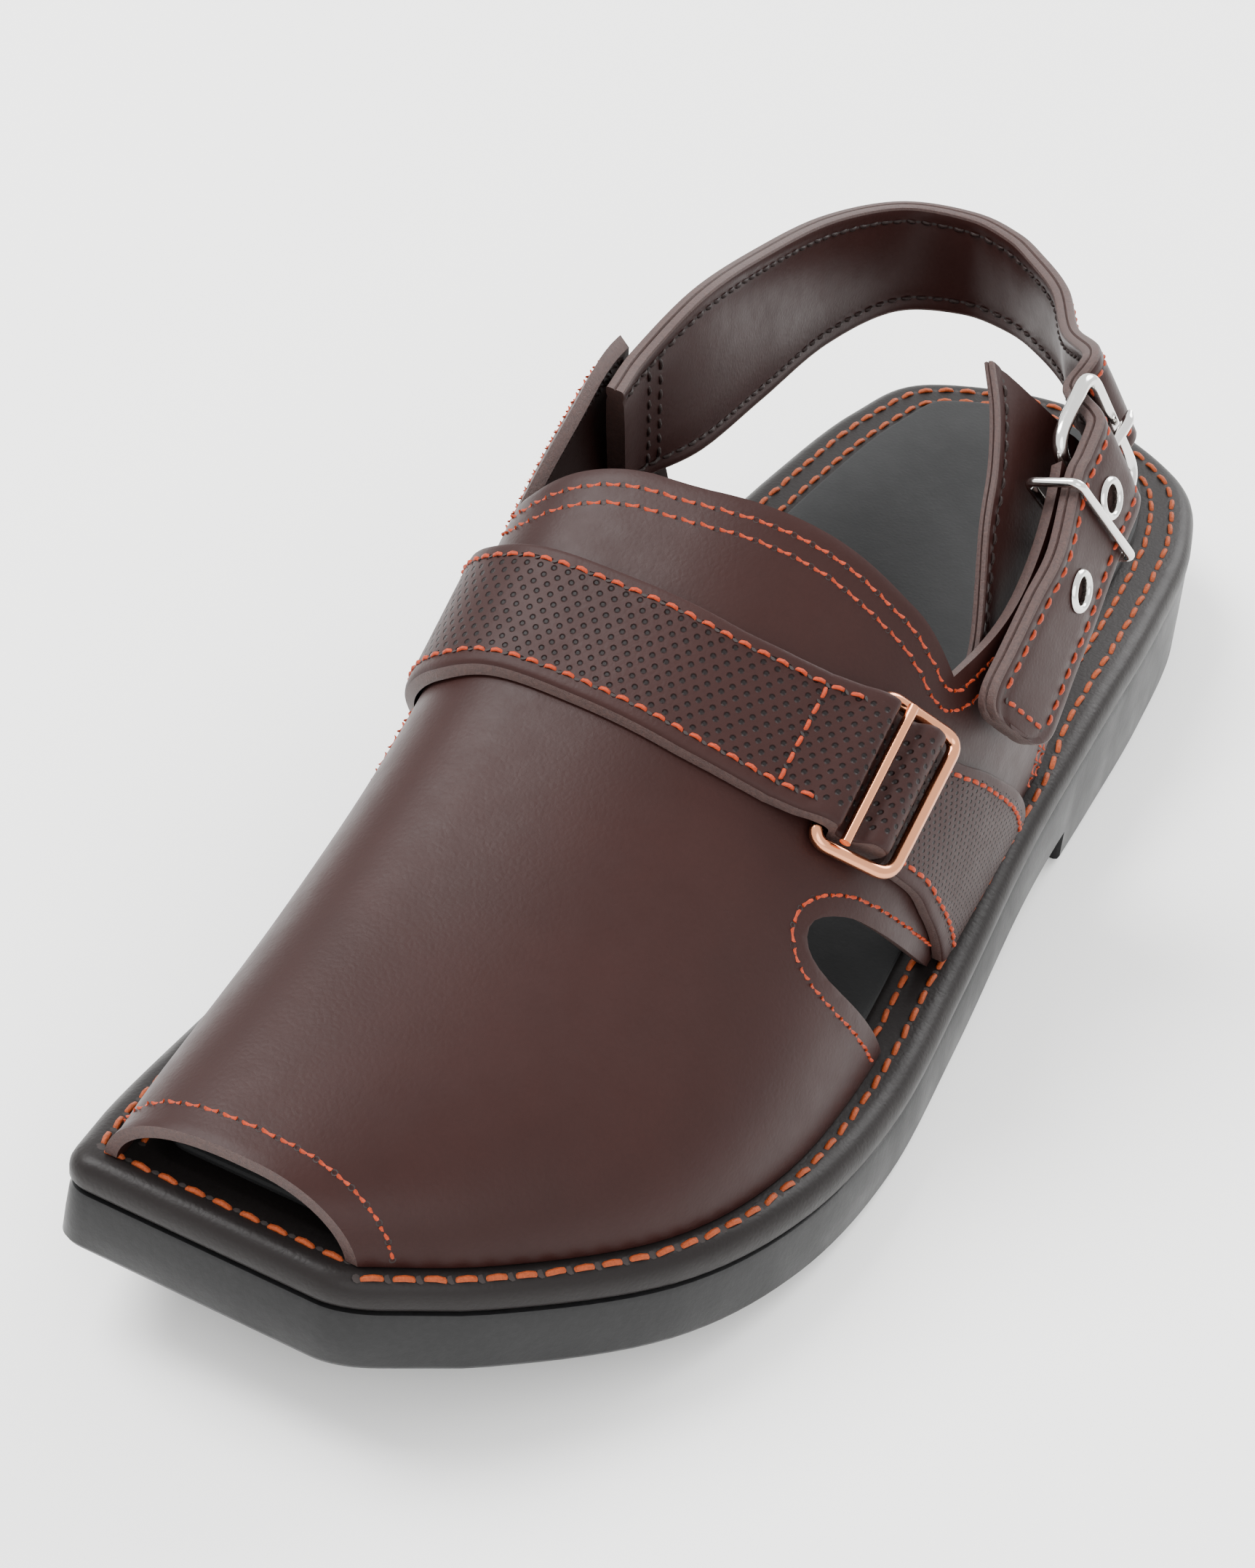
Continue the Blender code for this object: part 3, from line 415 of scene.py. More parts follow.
def upper_point(y, turn, out=0.0):
    """A point of the upper: turn 0 is its lateral base, 1 its medial base; out is the offset outward."""
    row = table_at(SECTIONS, share_of(y))
    crown, crest, lateral, medial, rise_power, lateral_lean, medial_lean, share = row
    middle = crest * BALL_WIDTH
    angle = math.pi * turn
    side = 0 if angle < math.pi / 2 else 1
    power, lean, sign = ((lateral, lateral_lean, 1), (medial, medial_lean, -1))[side]
    reach = abs(base_x(y, side, share) - middle) + out
    cosine = abs(math.cos(angle)) ** (2.0 / power)
    sine = abs(math.sin(angle)) ** (2.0 / rise_power)
    rise = (crown * INSTEP_HEIGHT + out) * sine
    x = middle + sign * (reach + lean * rise) * cosine
    return Vector((x, y, top_at(y) + SEAT_GAP + rise))


def turn_at_height(y, height, side):
    """The turn where the upper's wall reaches a height above its base, on one side."""
    row = table_at(SECTIONS, share_of(y))
    crown, rise_power = row[0], row[4]
    part = min(max(height / (crown * INSTEP_HEIGHT), 0.0), 1.0)
    angle = math.asin(min(part ** (rise_power / 2.0), 1.0))
    return angle / math.pi if side == 0 else 1.0 - angle / math.pi


# The upper's edges. Stations are shares of the length, heights above the rand are shares of the instep
# height, and each pair is lateral, then medial
TOE_EDGE = (0.0250, 0.0165)
QUARTER_FRONT = (0.455, 0.450)
VALLEY = ((0.470, 0.635), (0.424, 0.780))
QUARTER_REAR = (
    # share of the quarter's columns, then station and height: lateral, medial
    (0.00, 0.603, 0.000, 0.640, 0.000),
    (0.43, 0.596, 0.490, 0.614, 0.400),
    (0.57, 0.633, 0.578, 0.592, 0.600),
    (1.00, 0.6075, 0.824, 0.546, 0.915),
)
TOP_SAG = (0.060, -0.070)
FLAP_EDGE = (
    # share of the way from the lateral to the medial valley, station
    (0.00, 0.470),
    (0.12, 0.466),
    (0.19, 0.461),
    (0.37, 0.452),
    (0.59, 0.439),
    (0.74, 0.428),
    (0.90, 0.421),
    (1.00, 0.424),
)
FLAP_ROOT = 0.075

COLUMNS = 96
FLAP_COLUMNS = (21, 75)
BODY_ROWS = 56
FLAP_ROWS = 12
QUARTER_ROWS = 24


def edge_turns():
    """The turn of every column along the row where flap and quarters part."""
    first, last = FLAP_COLUMNS
    turns = []
    low, high = (turn_at_height(station_y(VALLEY[s][0]), VALLEY[s][1] * INSTEP_HEIGHT, s) for s in (0, 1))
    for i in range(COLUMNS + 1):
        if i <= first:
            turns.append(low * i / first)
        elif i <= last:
            turns.append(low + (high - low) * (i - first) / (last - first))
        else:
            turns.append(high + (1 - high) * (i - last) / (COLUMNS - last))
    return turns


def flap_share(i):
    first, last = FLAP_COLUMNS
    return (i - first) / (last - first)


def parting_station(i):
    """The station of the parting row at a column: it runs under the flap between the two valleys."""
    first, last = FLAP_COLUMNS
    if i <= first:
        return QUARTER_FRONT[0] + (VALLEY[0][0] - QUARTER_FRONT[0]) * i / first
    if i >= last:
        return VALLEY[1][0] + (QUARTER_FRONT[1] - VALLEY[1][0]) * (i - last) / (COLUMNS - last)
    t = flap_share(i)
    root = FLAP_ROOT * math.sin(math.pi * t) ** 0.7
    return table_at(FLAP_EDGE, t)[0] - root


def quarter_place(side, t, up):
    """Station and height share on a quarter: t runs back from the parting row, up from base to top edge."""
    front = (QUARTER_FRONT[side] + (VALLEY[side][0] - QUARTER_FRONT[side]) * up, VALLEY[side][1] * up)
    for low, high in zip(QUARTER_REAR, QUARTER_REAR[1:]):
        if up <= high[0]:
            break
    s = (up - low[0]) / (high[0] - low[0])
    rear = [low[k] + (high[k] - low[k]) * s for k in (1 + 2 * side, 2 + 2 * side)]
    sag = math.sin(math.pi * t) * TOP_SAG[side] * up
    return (front[0] + (rear[0] - front[0]) * t, front[1] + (rear[1] - front[1]) * t - sag)


def upper_places():
    """The upper's grid as (y, turn) places and the quads between them."""
    turns = edge_turns()
    first, last = FLAP_COLUMNS
    places, quads = [], []

    def add_row(row_places):
        start = len(places)
        places.extend(row_places)
        return list(range(start, len(places)))

    def join(grid):
        for low, high in zip(grid, grid[1:]):
            for k in range(len(low) - 1):
                quads.append([low[k], low[k + 1], high[k + 1], high[k]])

    rows = []
    for r in range(BODY_ROWS + 1):
        t = r / BODY_ROWS
        row = []
        for i in range(COLUMNS + 1):
            across = i / COLUMNS
            start = TOE_EDGE[0] + (TOE_EDGE[1] - TOE_EDGE[0]) * across
            station = start + (parting_station(i) - start) * t
            row.append((station_y(station), across + (turns[i] - across) * smooth(t)))
        rows.append(add_row(row))
    join(rows)
    parting = rows[-1]

    flap = [parting[first:last + 1]]
    for r in range(1, FLAP_ROWS + 1):
        row = []
        for i in range(first + 1, last):
            low, high = parting_station(i), table_at(FLAP_EDGE, flap_share(i))[0]
            row.append((station_y(low + (high - low) * r / FLAP_ROWS), turns[i]))
        flap.append([parting[first]] + add_row(row) + [parting[last]])
    for low, high in zip(flap, flap[1:]):
        for k in range(len(low) - 1):
            corners = list(dict.fromkeys([low[k], low[k + 1], high[k + 1], high[k]]))
            quads.append(corners)

    for side, columns in ((0, range(0, first + 1)), (1, range(last, COLUMNS + 1))):
        grid = [[parting[i] for i in columns]]
        spans = len(columns) - 1
        for r in range(1, QUARTER_ROWS + 1):
            row = []
            for n in range(spans + 1):
                up = n / spans if side == 0 else 1 - n / spans
                station, height = quarter_place(side, r / QUARTER_ROWS, up)
                y = station_y(station)
                row.append((y, turn_at_height(y, height * INSTEP_HEIGHT, side)))
            grid.append(add_row(row))
        join(grid)
    return places, quads


def wall_point(station, height, side, out=0.0):
    """A point of the upper by station and height share on one side."""
    y = station_y(station)
    return upper_point(y, turn_at_height(y, height * INSTEP_HEIGHT, side), out)


def frames_along(points, closed):
    """Tangents and a steady normal at each point of a path."""
    count = len(points)
    tangents = []
    for i in range(count):
        before = points[i - 1] if closed or i else points[0]
        after = points[(i + 1) % count] if closed or i < count - 1 else points[-1]
        tangents.append((after - before).normalized())
    normal = tangents[0].orthogonal().normalized()
    normals = []
    for tangent in tangents:
        normal = (normal - tangent * normal.dot(tangent)).normalized()
        normals.append(normal)
    if closed:
        turn = normals[-1].angle(normals[0])
        sign = 1 if normals[-1].cross(normals[0]).dot(tangents[0]) > 0 else -1
        for i in range(count):
            spin = Quaternion(tangents[i], sign * turn * i / count)
            normals[i] = spin @ normals[i]
    return tangents, normals


def wire(name, points, width, mat, closed=False, sides=20, taper=()):
    """A round wire along a path, closed into a ring or with flat ends; taper scales each row."""
    tangents, normals = frames_along(points, closed)
    verts, faces = [], []
    count = len(points)
    for i, (p, tangent, normal) in enumerate(zip(points, tangents, normals)):
        other = tangent.cross(normal)
        radius = width / 2 * (taper[i] if taper else 1.0)
        for k in range(sides):
            angle = 2 * math.pi * k / sides
            verts.append(p + (normal * math.cos(angle) + other * math.sin(angle)) * radius)
    for i in range(count if closed else count - 1):
        j = (i + 1) % count
        for k in range(sides):
            n = (k + 1) % sides
            faces.append((i * sides + k, i * sides + n, j * sides + n, j * sides + k))
    if not closed:
        faces.append(tuple(range(sides))[::-1])
        faces.append(tuple((count - 1) * sides + k for k in range(sides)))
    return add_piece(name, verts, faces, [mat], None, 50)


def rounded_ring(middle, along, across, corner, steps=4):
    """A rounded rectangle: half sides given as vectors."""
    points = []
    a, b = along.normalized() * corner, across.normalized() * corner
    for sa, sb in ((1, 1), (-1, 1), (-1, -1), (1, -1)):
        tip = middle + along * sa + across * sb
        ends = (tip - b * sb, tip - a * sa) if sa * sb > 0 else (tip - a * sa, tip - b * sb)
        points += [bezier(ends[0], tip, ends[1], k / steps) for k in range(steps + 1)]
    return points


# Materials
def new_material(name, color, roughness, metallic=0.0):
    mat = bpy.data.materials.new(name)
    mat.use_nodes = True
    shader = mat.node_tree.nodes["Principled BSDF"]
    shader.inputs["Base Color"].default_value = (*color, 1.0)
    shader.inputs["Roughness"].default_value = roughness
    shader.inputs["Metallic"].default_value = metallic
    return mat, mat.node_tree, shader


def add_node(tree, kind, **values):
    node = tree.nodes.new(kind)
    for key, value in values.items():
        if key in node.inputs:
            node.inputs[key].default_value = value
        else:
            setattr(node, key, value)
    return node


def noise(tree, scale, detail=4.0, roughness=0.6):
    """Noise over the object's own metres; scale is in cells a metre."""
    place = add_node(tree, "ShaderNodeTexCoord")
    node = add_node(tree, "ShaderNodeTexNoise", Scale=scale, Detail=detail, Roughness=roughness)
    tree.links.new(place.outputs["Object"], node.inputs["Vector"])
    return node.outputs["Fac"]


def cells(tree, scale):
    """The creases between cells of leather grain."""
    place = add_node(tree, "ShaderNodeTexCoord")
    node = add_node(tree, "ShaderNodeTexVoronoi", Scale=scale, feature="DISTANCE_TO_EDGE")
    tree.links.new(place.outputs["Object"], node.inputs["Vector"])
    return node.outputs["Distance"]


def ramp(tree, value, low, high, first, second):
    """A value spread between two colours or numbers."""
    node = add_node(tree, "ShaderNodeMapRange")
    node.inputs["From Min"].default_value = low
    node.inputs["From Max"].default_value = high
    node.inputs["To Min"].default_value = first
    node.inputs["To Max"].default_value = second
    tree.links.new(value, node.inputs["Value"])
    return node.outputs["Result"]


def mix_color(tree, factor, first, second):
    node = add_node(tree, "ShaderNodeMix", data_type="RGBA", blend_type="MIX")
    for socket, value in ((node.inputs[0], factor), (node.inputs[6], first), (node.inputs[7], second)):
        if isinstance(value, bpy.types.NodeSocket):
            tree.links.new(value, socket)
        else:
            socket.default_value = value if isinstance(value, float) else (*value, 1.0)
    return node.outputs[2]


def math_node(tree, operation, first, second=0.0):
    node = add_node(tree, "ShaderNodeMath", operation=operation)
    for socket, value in zip(node.inputs, (first, second)):
        if isinstance(value, bpy.types.NodeSocket):
            tree.links.new(value, socket)
        else:
            socket.default_value = value
    return node.outputs[0]


def bump(tree, shader, layers):
    """Chained bumps from (height, strength, depth in metres)."""
    last = None
    for height, strength, depth in layers:
        node = add_node(tree, "ShaderNodeBump", Strength=strength, Distance=depth)
        tree.links.new(height, node.inputs["Height"])
        if last:
            tree.links.new(last, node.inputs["Normal"])
        last = node.outputs["Normal"]
    tree.links.new(last, shader.inputs["Normal"])


def connect(tree, shader, tone, gloss, layers, specular):
    """Joins a material's colour, gloss and bumps to its shader; a None leaves what the shader has."""
    for value, socket in ((tone, "Base Color"), (gloss, "Roughness")):
        if value:
            tree.links.new(value, shader.inputs[socket])
    bump(tree, shader, layers)
    if specular is not None:
        shader.inputs["Specular IOR Level"].default_value = specular


def leather(name, color, roughness, grain, holes=None):
    """Grained leather: cloudy colour, fine creases and pores; holes gives the punched pattern's pitch, and
    the holes are painted near-black as painted shade.
    """
    mat, tree, shader = new_material(name, color, roughness)
    cloud = noise(tree, 55.0, 3.0)
    fine = noise(tree, 1400.0, 3.0)
    dark = tuple(c * 0.92 for c in color)
    light = tuple(c * 1.09 for c in color)
    tone = mix_color(tree, ramp(tree, cloud, 0.3, 0.7, 0.0, 1.0), dark, light)
    tone = mix_color(tree, ramp(tree, fine, 0.35, 0.7, 0.0, 0.3), tone, tuple(c * 0.8 for c in color))
    gloss = ramp(tree, noise(tree, 240.0, 4.0), 0.3, 0.7, roughness - 0.03, roughness + 0.04)
    layers = [(cells(tree, 900.0), 0.22 * grain, 0.0003), (fine, 0.20 * grain, 0.0003),
              (noise(tree, 160.0, 2.0), 0.06 * grain, 0.0010)]
    if holes:
        mask = punched(tree, holes)
        # Painted shade: the holes are not cut, so their inside is painted near-black
        tone = mix_color(tree, mask, tone, (0.006, 0.004, 0.004))
        layers.append((math_node(tree, "SUBTRACT", 1.0, mask), 0.9, 0.0005))
    connect(tree, shader, tone, gloss, layers, 0.125)
    return mat


def punched(tree, pitch):
    """1 inside small round holes on a staggered grid laid along the piece's own length and width."""
    place = add_node(tree, "ShaderNodeUVMap", uv_map="strip")
    distances = []
    for shift in (0.0, 0.5):
        grid = add_node(tree, "ShaderNodeVectorMath", operation="MULTIPLY_ADD")
        tree.links.new(place.outputs["UV"], grid.inputs[0])
        grid.inputs[1].default_value = (1 / pitch, 1 / (pitch * HOLE_ROWS), 0.0)
        grid.inputs[2].default_value = (shift, shift, 0.0)
        cell = add_node(tree, "ShaderNodeVectorMath", operation="FRACTION")
        tree.links.new(grid.outputs[0], cell.inputs[0])
        centred = add_node(tree, "ShaderNodeVectorMath", operation="MULTIPLY_ADD")
        tree.links.new(cell.outputs[0], centred.inputs[0])
        centred.inputs[1].default_value = (1.0, HOLE_ROWS, 0.0)
        centred.inputs[2].default_value = (-0.5, -0.5 * HOLE_ROWS, 0.0)
        size = add_node(tree, "ShaderNodeVectorMath", operation="LENGTH")
        tree.links.new(centred.outputs[0], size.inputs[0])
        distances.append(size.outputs["Value"])
    near = math_node(tree, "MINIMUM", *distances)
    spot = ramp(tree, near, HOLE_SIZE - 0.06, HOLE_SIZE + 0.05, 1.0, 0.0)
    edge = add_node(tree, "ShaderNodeAttribute", attribute_name="border")
    inside = ramp(tree, edge.outputs["Fac"], HOLE_BORDER - 0.0001, HOLE_BORDER + 0.0001, 0.0, 1.0)
    return math_node(tree, "MULTIPLY", spot, inside)


HOLE_ROWS = 1.25
HOLE_SIZE = 0.175
HOLE_BORDER = 0.0021

BROWN = leather("smooth_brown_leather", (0.0190, 0.0062, 0.0052), 0.44, 0.4)
LINING = leather("brown_lining", (0.0120, 0.0040, 0.0032), 0.52, 0.5)
PUNCHED = leather("punched_brown_leather", (0.0200, 0.0068, 0.0058), 0.50, 0.5, holes=0.00235)
PUNCHED_FINE = leather("fine_punched_leather", (0.0205, 0.0071, 0.0061), 0.51, 0.5, holes=0.0018)
RIM = leather("dark_rim_leather", (0.0085, 0.0068, 0.0066), 0.42, 0.6)
PAD = leather("charcoal_pad", (0.0150, 0.0153, 0.0156), 0.66, 0.7)


def cut_edge_material():
    mat, tree, shader = new_material("cut_leather_edge", (0.042, 0.0165, 0.0125), 0.62)
    fibre = noise(tree, 1800.0, 5.0, 0.75)
    share = ramp(tree, fibre, 0.35, 0.7, 0.0, 1.0)
    tone = mix_color(tree, share, (0.024, 0.0095, 0.0078), (0.050, 0.021, 0.016))
    connect(tree, shader, tone, None, [(fibre, 0.6, 0.0004)], None)
    return mat


def rubber_material():
    mat, tree, shader = new_material("moulded_black_rubber", (0.0095, 0.0095, 0.010), 0.42)
    speck = noise(tree, 900.0, 4.0)
    gloss = ramp(tree, noise(tree, 70.0, 3.0), 0.3, 0.7, 0.34, 0.48)
    share = ramp(tree, speck, 0.4, 0.75, 0.0, 1.0)
    tone = mix_color(tree, share, (0.0050, 0.0050, 0.0053), (0.0075, 0.0075, 0.0079))
    connect(tree, shader, tone, gloss, [(speck, 0.18, 0.0003), (noise(tree, 45.0, 2.0), 0.10, 0.001)], 0.22)
    return mat


def thread_material(name, color):
    mat, tree, shader = new_material(name, color, 0.55)
    fibre = noise(tree, 2600.0, 3.0)
    tone = mix_color(tree, ramp(tree, fibre, 0.3, 0.7, 0.0, 1.0), tuple(c * 0.62 for c in color), color)
    connect(tree, shader, tone, None, [(fibre, 0.5, 0.0003)], 0.2)
    return mat


def metal_material(name, color, roughness):
    mat, tree, shader = new_material(name, color, roughness, 1.0)
    haze = ramp(tree, noise(tree, 320.0, 4.0), 0.3, 0.75, roughness * 0.7, roughness * 1.5)
    connect(tree, shader, None, haze, [(noise(tree, 420.0, 2.0), 0.05, 0.0004)], None)
    return mat


CUT_EDGE = cut_edge_material()
RUBBER = rubber_material()
ORANGE = thread_material("orange_thread", (0.33, 0.036, 0.008))
DARK_THREAD = thread_material("dark_thread", (0.014, 0.0062, 0.0050))
AMBER = thread_material("amber_thread", (0.26, 0.046, 0.009))
NICKEL = metal_material("polished_nickel", (0.66, 0.65, 0.63), 0.14)
ROSE_GOLD = metal_material("polished_rose_gold", (0.60, 0.25, 0.13), 0.17)
# Painted shade of the needle holes: dark discs laid on the leather
NEEDLE_HOLE_SHADE = new_material("needle_hole_painted_shade", (0.012, 0.007, 0.006), 0.85)[0]


# The slot through each side of the vamp, wide at the rand and rounded at its head further forward
SLOT_PLACE = 0.392
SLOT_EDGE = (
    # share of the slot's length from its middle, share of its height
    (-0.50, 0.00),
    (-0.88, 0.42),
    (-1.18, 0.76),
    (-1.22, 0.93),
    (-1.06, 1.00),
    (-0.80, 0.93),
    (-0.56, 0.78),
    (-0.03, 0.38),
    (0.50, 0.00),
)


def slot_ring(x):
    middle = station_y(SLOT_PLACE)
    base = top_at(middle)
    ring = [Vector((x, middle + along * SLOT_LENGTH, base + up * SLOT_HEIGHT)) for along, up in SLOT_EDGE]
    ring = catmull(ring, 3)
    below = Vector((0, 0, -SLOT_HEIGHT * 0.3))
    return [ring[0] + below] + ring + [ring[-1] + below]


# The instep band crosses from the slide buckle over the crest to the medial base
BAND = (
    # turn, centre station, width as a share of the band width
    (0.000, 0.4983, 1.60),
    (0.080, 0.4500, 1.24),
    (0.115, 0.4320, 1.08),
    (0.160, 0.4080, 0.94),
    (0.210, 0.3900, 0.92),
    (0.270, 0.3715, 0.92),
    (0.318, 0.3610, 0.88),
    (0.362, 0.3530, 0.84),
    (0.417, 0.3470, 0.81),
    (0.560, 0.3450, 0.81),
    (0.660, 0.3480, 0.88),
    (0.780, 0.3700, 1.00),
    (0.900, 0.4120, 1.15),
    (1.000, 0.4560, 1.28),
)
ROLL_END = 0.196
BAND_END = 0.996
ANCHOR_END = 0.188
BAND_LIFT = (
    # turn, height of the underside, height of the face, both as shares of the band thickness
    (0.196, 0.60, 1.60),
    (0.200, 0.35, 2.20),
    (0.209, 0.20, 2.50),
    (0.220, 0.20, 2.40),
    (0.230, 0.20, 1.55),
    (0.243, 0.20, 1.20),
    (0.252, 0.45, 1.45),
    (0.259, 1.30, 2.28),
    (0.267, 1.50, 2.45),
    (0.278, 1.35, 2.32),
    (0.296, 0.70, 1.70),
    (0.322, 0.20, 1.20),
)


def band_place(turn, v, trim=1.0):
    station, share = table_at(BAND, turn)
    return (station_y(station) + (v - 0.5) * BAND_WIDTH * share * trim, turn)


def band_turn(u):
    """Turns of the band's rows, close together at the slide buckle."""
    near = 0.5
    close_end = 0.33
    if u < near:
        return ROLL_END + (close_end - ROLL_END) * u / near
    return close_end + (BAND_END - close_end) * (u - near) / (1 - near)


# The slide buckle lies on the lateral side, its bars across the band
LEFT_BAR = (0.267, 0.3730, 0.60)
RIGHT_BAR = (0.182, 0.3980, 1.70)
CENTRE_BAR = (0.2435, 0.3785, 1.75)
SLIDE_SPAN = 1.09
SLIDE_ROUND = SLIDE_WIRE * 1.4
CENTRE_END = 0.94
CENTRE_WIRE = SLIDE_WIRE * 0.8


def slide_corner(bar, end):
    turn, station, lift = bar
    y = station_y(station) + end * BAND_WIDTH * SLIDE_SPAN / 2
    return upper_point(y, turn, SEAT_GAP + SLIDE_WIRE * 0.5 + BAND_THICKNESS * (lift - 0.5))


# The strap buckle stands behind the end of the lateral tab
BUCKLE_AIM = Vector((-0.09, 0.935, 0.34))
BUCKLE_REACH = 0.600


def buckle_axes():
    """The buckle's middle and its axes: back along the strap, up across it, and outward."""
    high = wall_point(QUARTER_REAR[3][1], QUARTER_REAR[3][2], 0, -LEATHER / 2)
    low = wall_point(QUARTER_REAR[2][1], QUARTER_REAR[2][2], 0, -LEATHER / 2)
    up = (high - low).normalized()
    back = (BUCKLE_AIM - up * BUCKLE_AIM.dot(up)).normalized()
    out = back.cross(up)
    start = (high + low) / 2 + back * (BUCKLE_WIRE / 2 + SEAT_GAP * 2)
    return start + back * BUCKLE_LENGTH / 2, back, up, out


HEART, BACK, UP, OUT = buckle_axes()


def by_buckle(back, up, out):
    return HEART + BACK * back + UP * up + OUT * out


CLEAR = (STRAP_THICKNESS + BUCKLE_WIRE) / 2 + SEAT_GAP * 2
# How far the free end stands out from the buckle's middle, as a share of the clear distance
FREE_OUT = 1.16
THROUGH = (
    # place behind the buckle's middle: share of half its length, then shares of the clear distance: back, out
    (1.0, 1.90, -0.80),
    (1.0, 0.00, -1.06),
    (1.0, -0.62, -0.84),
    (1.0, -1.43, 0.00),
    (1.0, -2.08, 0.72),
    (1.0, -2.75, 1.08),
    (-1.0, 0.00, FREE_OUT),
    (-1.0, -1.40, FREE_OUT),
)
FREE_END = (
    # station, height, stand-off as a share of the strap thickness, lean across, lean along, width share
    (0.571, 0.600, 0.85, -0.28, -0.36, 1.00),
    (0.545, 0.560, 0.90, -0.30, -0.45, 1.00),
    (0.518, 0.516, 1.05, -0.33, -0.55, 1.00),
    (0.500, 0.490, 1.20, -0.36, -0.61, 0.99),
    (0.491, 0.475, 1.28, -0.38, -0.64, 0.95),
    (0.486, 0.468, 1.32, -0.38, -0.64, 0.84),
)
HEEL_PATH = (
    # station, across as a share of the ball width, height as a share of the instep height, leans, width share
    (0.762, 0.140, 0.990, -0.28, -0.14, 1.00),
    (0.820, 0.052, 0.950, -0.26, -0.12, 1.00),
    (0.857, -0.046, 0.929, -0.21, -0.13, 1.00),
    (0.878, -0.126, 0.914, -0.12, -0.12, 1.00),
    (0.885, -0.227, 0.906, -0.04, -0.07, 1.02),
    (0.861, -0.342, 0.910, -0.05, -0.01, 1.08),
    (0.793, -0.399, 0.932, -0.09, 0.01, 1.24),
    (0.701, -0.402, 0.972, -0.10, 0.00, 1.42),
    (0.612, -0.391, 1.018, -0.08, -0.04, 1.50),
)
HEEL_START = (
    # station, height and leaning of the strap's end inside the medial tab
    (0.556, 0.722, 0.014),
    (0.524, 0.734, 0.022),
)


def inside_row(station, height, slant, side, thickness, share):
    """A strap row lying against the inner face of a quarter."""
    half = STRAP_WIDTH / INSTEP_HEIGHT * share / 2
    low = wall_point(station + slant, height - half, side, -LEATHER - SEAT_GAP * 2)
    high = wall_point(station - slant, height + half, side, -LEATHER - SEAT_GAP * 2)
    inward = Vector((side * 2 - 1, 0, 0)) * thickness * 0.55
    return ((low + high) / 2 + inward, high - low)


def leaning(across, along):
    return Vector((across, along, math.sqrt(1 - across * across - along * along)))


def smooth_rows(rows):
    """Strap rows on smooth curves through the centres and the widths of a few."""
    centres = catmull([row[0] for row in rows], STRAP_STEPS)
    widths = catmull([row[1] for row in rows], STRAP_STEPS)
    return list(zip(centres, widths))


def strap_rows():
    """The strap from its free tip through the buckle and round the heel to its sewn end."""
    rows = []
    for station, height, off, across, along, share in FREE_END[::-1]:
        centre = wall_point(station, height, 0, SEAT_GAP + STRAP_THICKNESS * off)
        rows.append((centre, leaning(across, along) * STRAP_WIDTH * share))
    for half, back, out in THROUGH[::-1]:
        rows.append((by_buckle(half * BUCKLE_LENGTH / 2 + back * CLEAR, 0, out * CLEAR), UP * STRAP_WIDTH))
    for station, across, height, lean_x, lean_y, share in HEEL_PATH:
        centre = Vector((across * BALL_WIDTH, station_y(station), height * INSTEP_HEIGHT))
        rows.append((centre, leaning(lean_x, lean_y) * STRAP_WIDTH * share))
    for station, height, slant in HEEL_START:
        rows.append(inside_row(station, height, slant, 1, STRAP_THICKNESS, 1.48))
    return smooth_rows(rows)


def on_strap(distance):
    """Centre and axes of the strap at a distance from its free tip."""
    gone = 0.0
    for (a, wide), (b, _) in zip(STRAP_ROWS, STRAP_ROWS[1:]):
        step = (b - a).length
        if gone + step >= distance:
            along = (b - a).normalized()
            up = wide.normalized()
            return a.lerp(b, (distance - gone) / step), along, up, along.cross(up).normalized()
        gone += step


def flat_ring(middle, a, b, radius, count):
    turns = [2 * math.pi * k / count for k in range(count)]
    return [middle + (a * math.cos(turn) + b * math.sin(turn)) * radius for turn in turns]


# Stitching
THREAD_WIDTH = 0.00075
STITCH_PITCH = 0.0031
STITCH_GAP = 0.0009


def seat(tree, point):
    """The nearest place on a surface and its normal."""
    place, normal, _, _ = tree.find_nearest(point)
    return place, normal


def offset_path(tree, path, distance, keep=0.94):
    """A path on the surface at a distance to the left of an edge path, without its crowded corners."""
    moved = []
    count = len(path)
    for i, point in enumerate(path):
        along = (path[min(i + 1, count - 1)] - path[max(i - 1, 0)]).normalized()
        _, normal = seat(tree, point)
        place, normal = seat(tree, point + normal.cross(along) * distance)
        if min((place - q).length for q in path) > abs(distance) * keep:
            moved.append((place, normal))
    return moved


def resample(path, pitch):
    """Places and normals at equal steps along a path."""
    lengths = run_lengths([point for point, _ in path])
    steps = max(int(round(lengths[-1] / pitch)), 1)
    places = []
    k = 1
    for i in range(steps + 1):
        goal = lengths[-1] * i / steps
        while k < len(path) - 1 and lengths[k] < goal:
            k += 1
        t = (goal - lengths[k - 1]) / max(lengths[k] - lengths[k - 1], 1e-9)
        point = path[k - 1][0].lerp(path[k][0], t)
        places.append((point, path[k - 1][1].lerp(path[k][1], t).normalized()))
    return places


STITCH_SHAPE = (
    # share of the stitch's length, thickness share, height as a share of the thread's width
    (0.00, 0.55, -0.42),
    (0.14, 0.90, 0.10),
    (0.50, 1.00, 0.34),
    (0.86, 0.90, 0.10),
    (1.00, 0.55, -0.42),
)
THREAD_SIDES = 7
HOLE_SIDES = 8


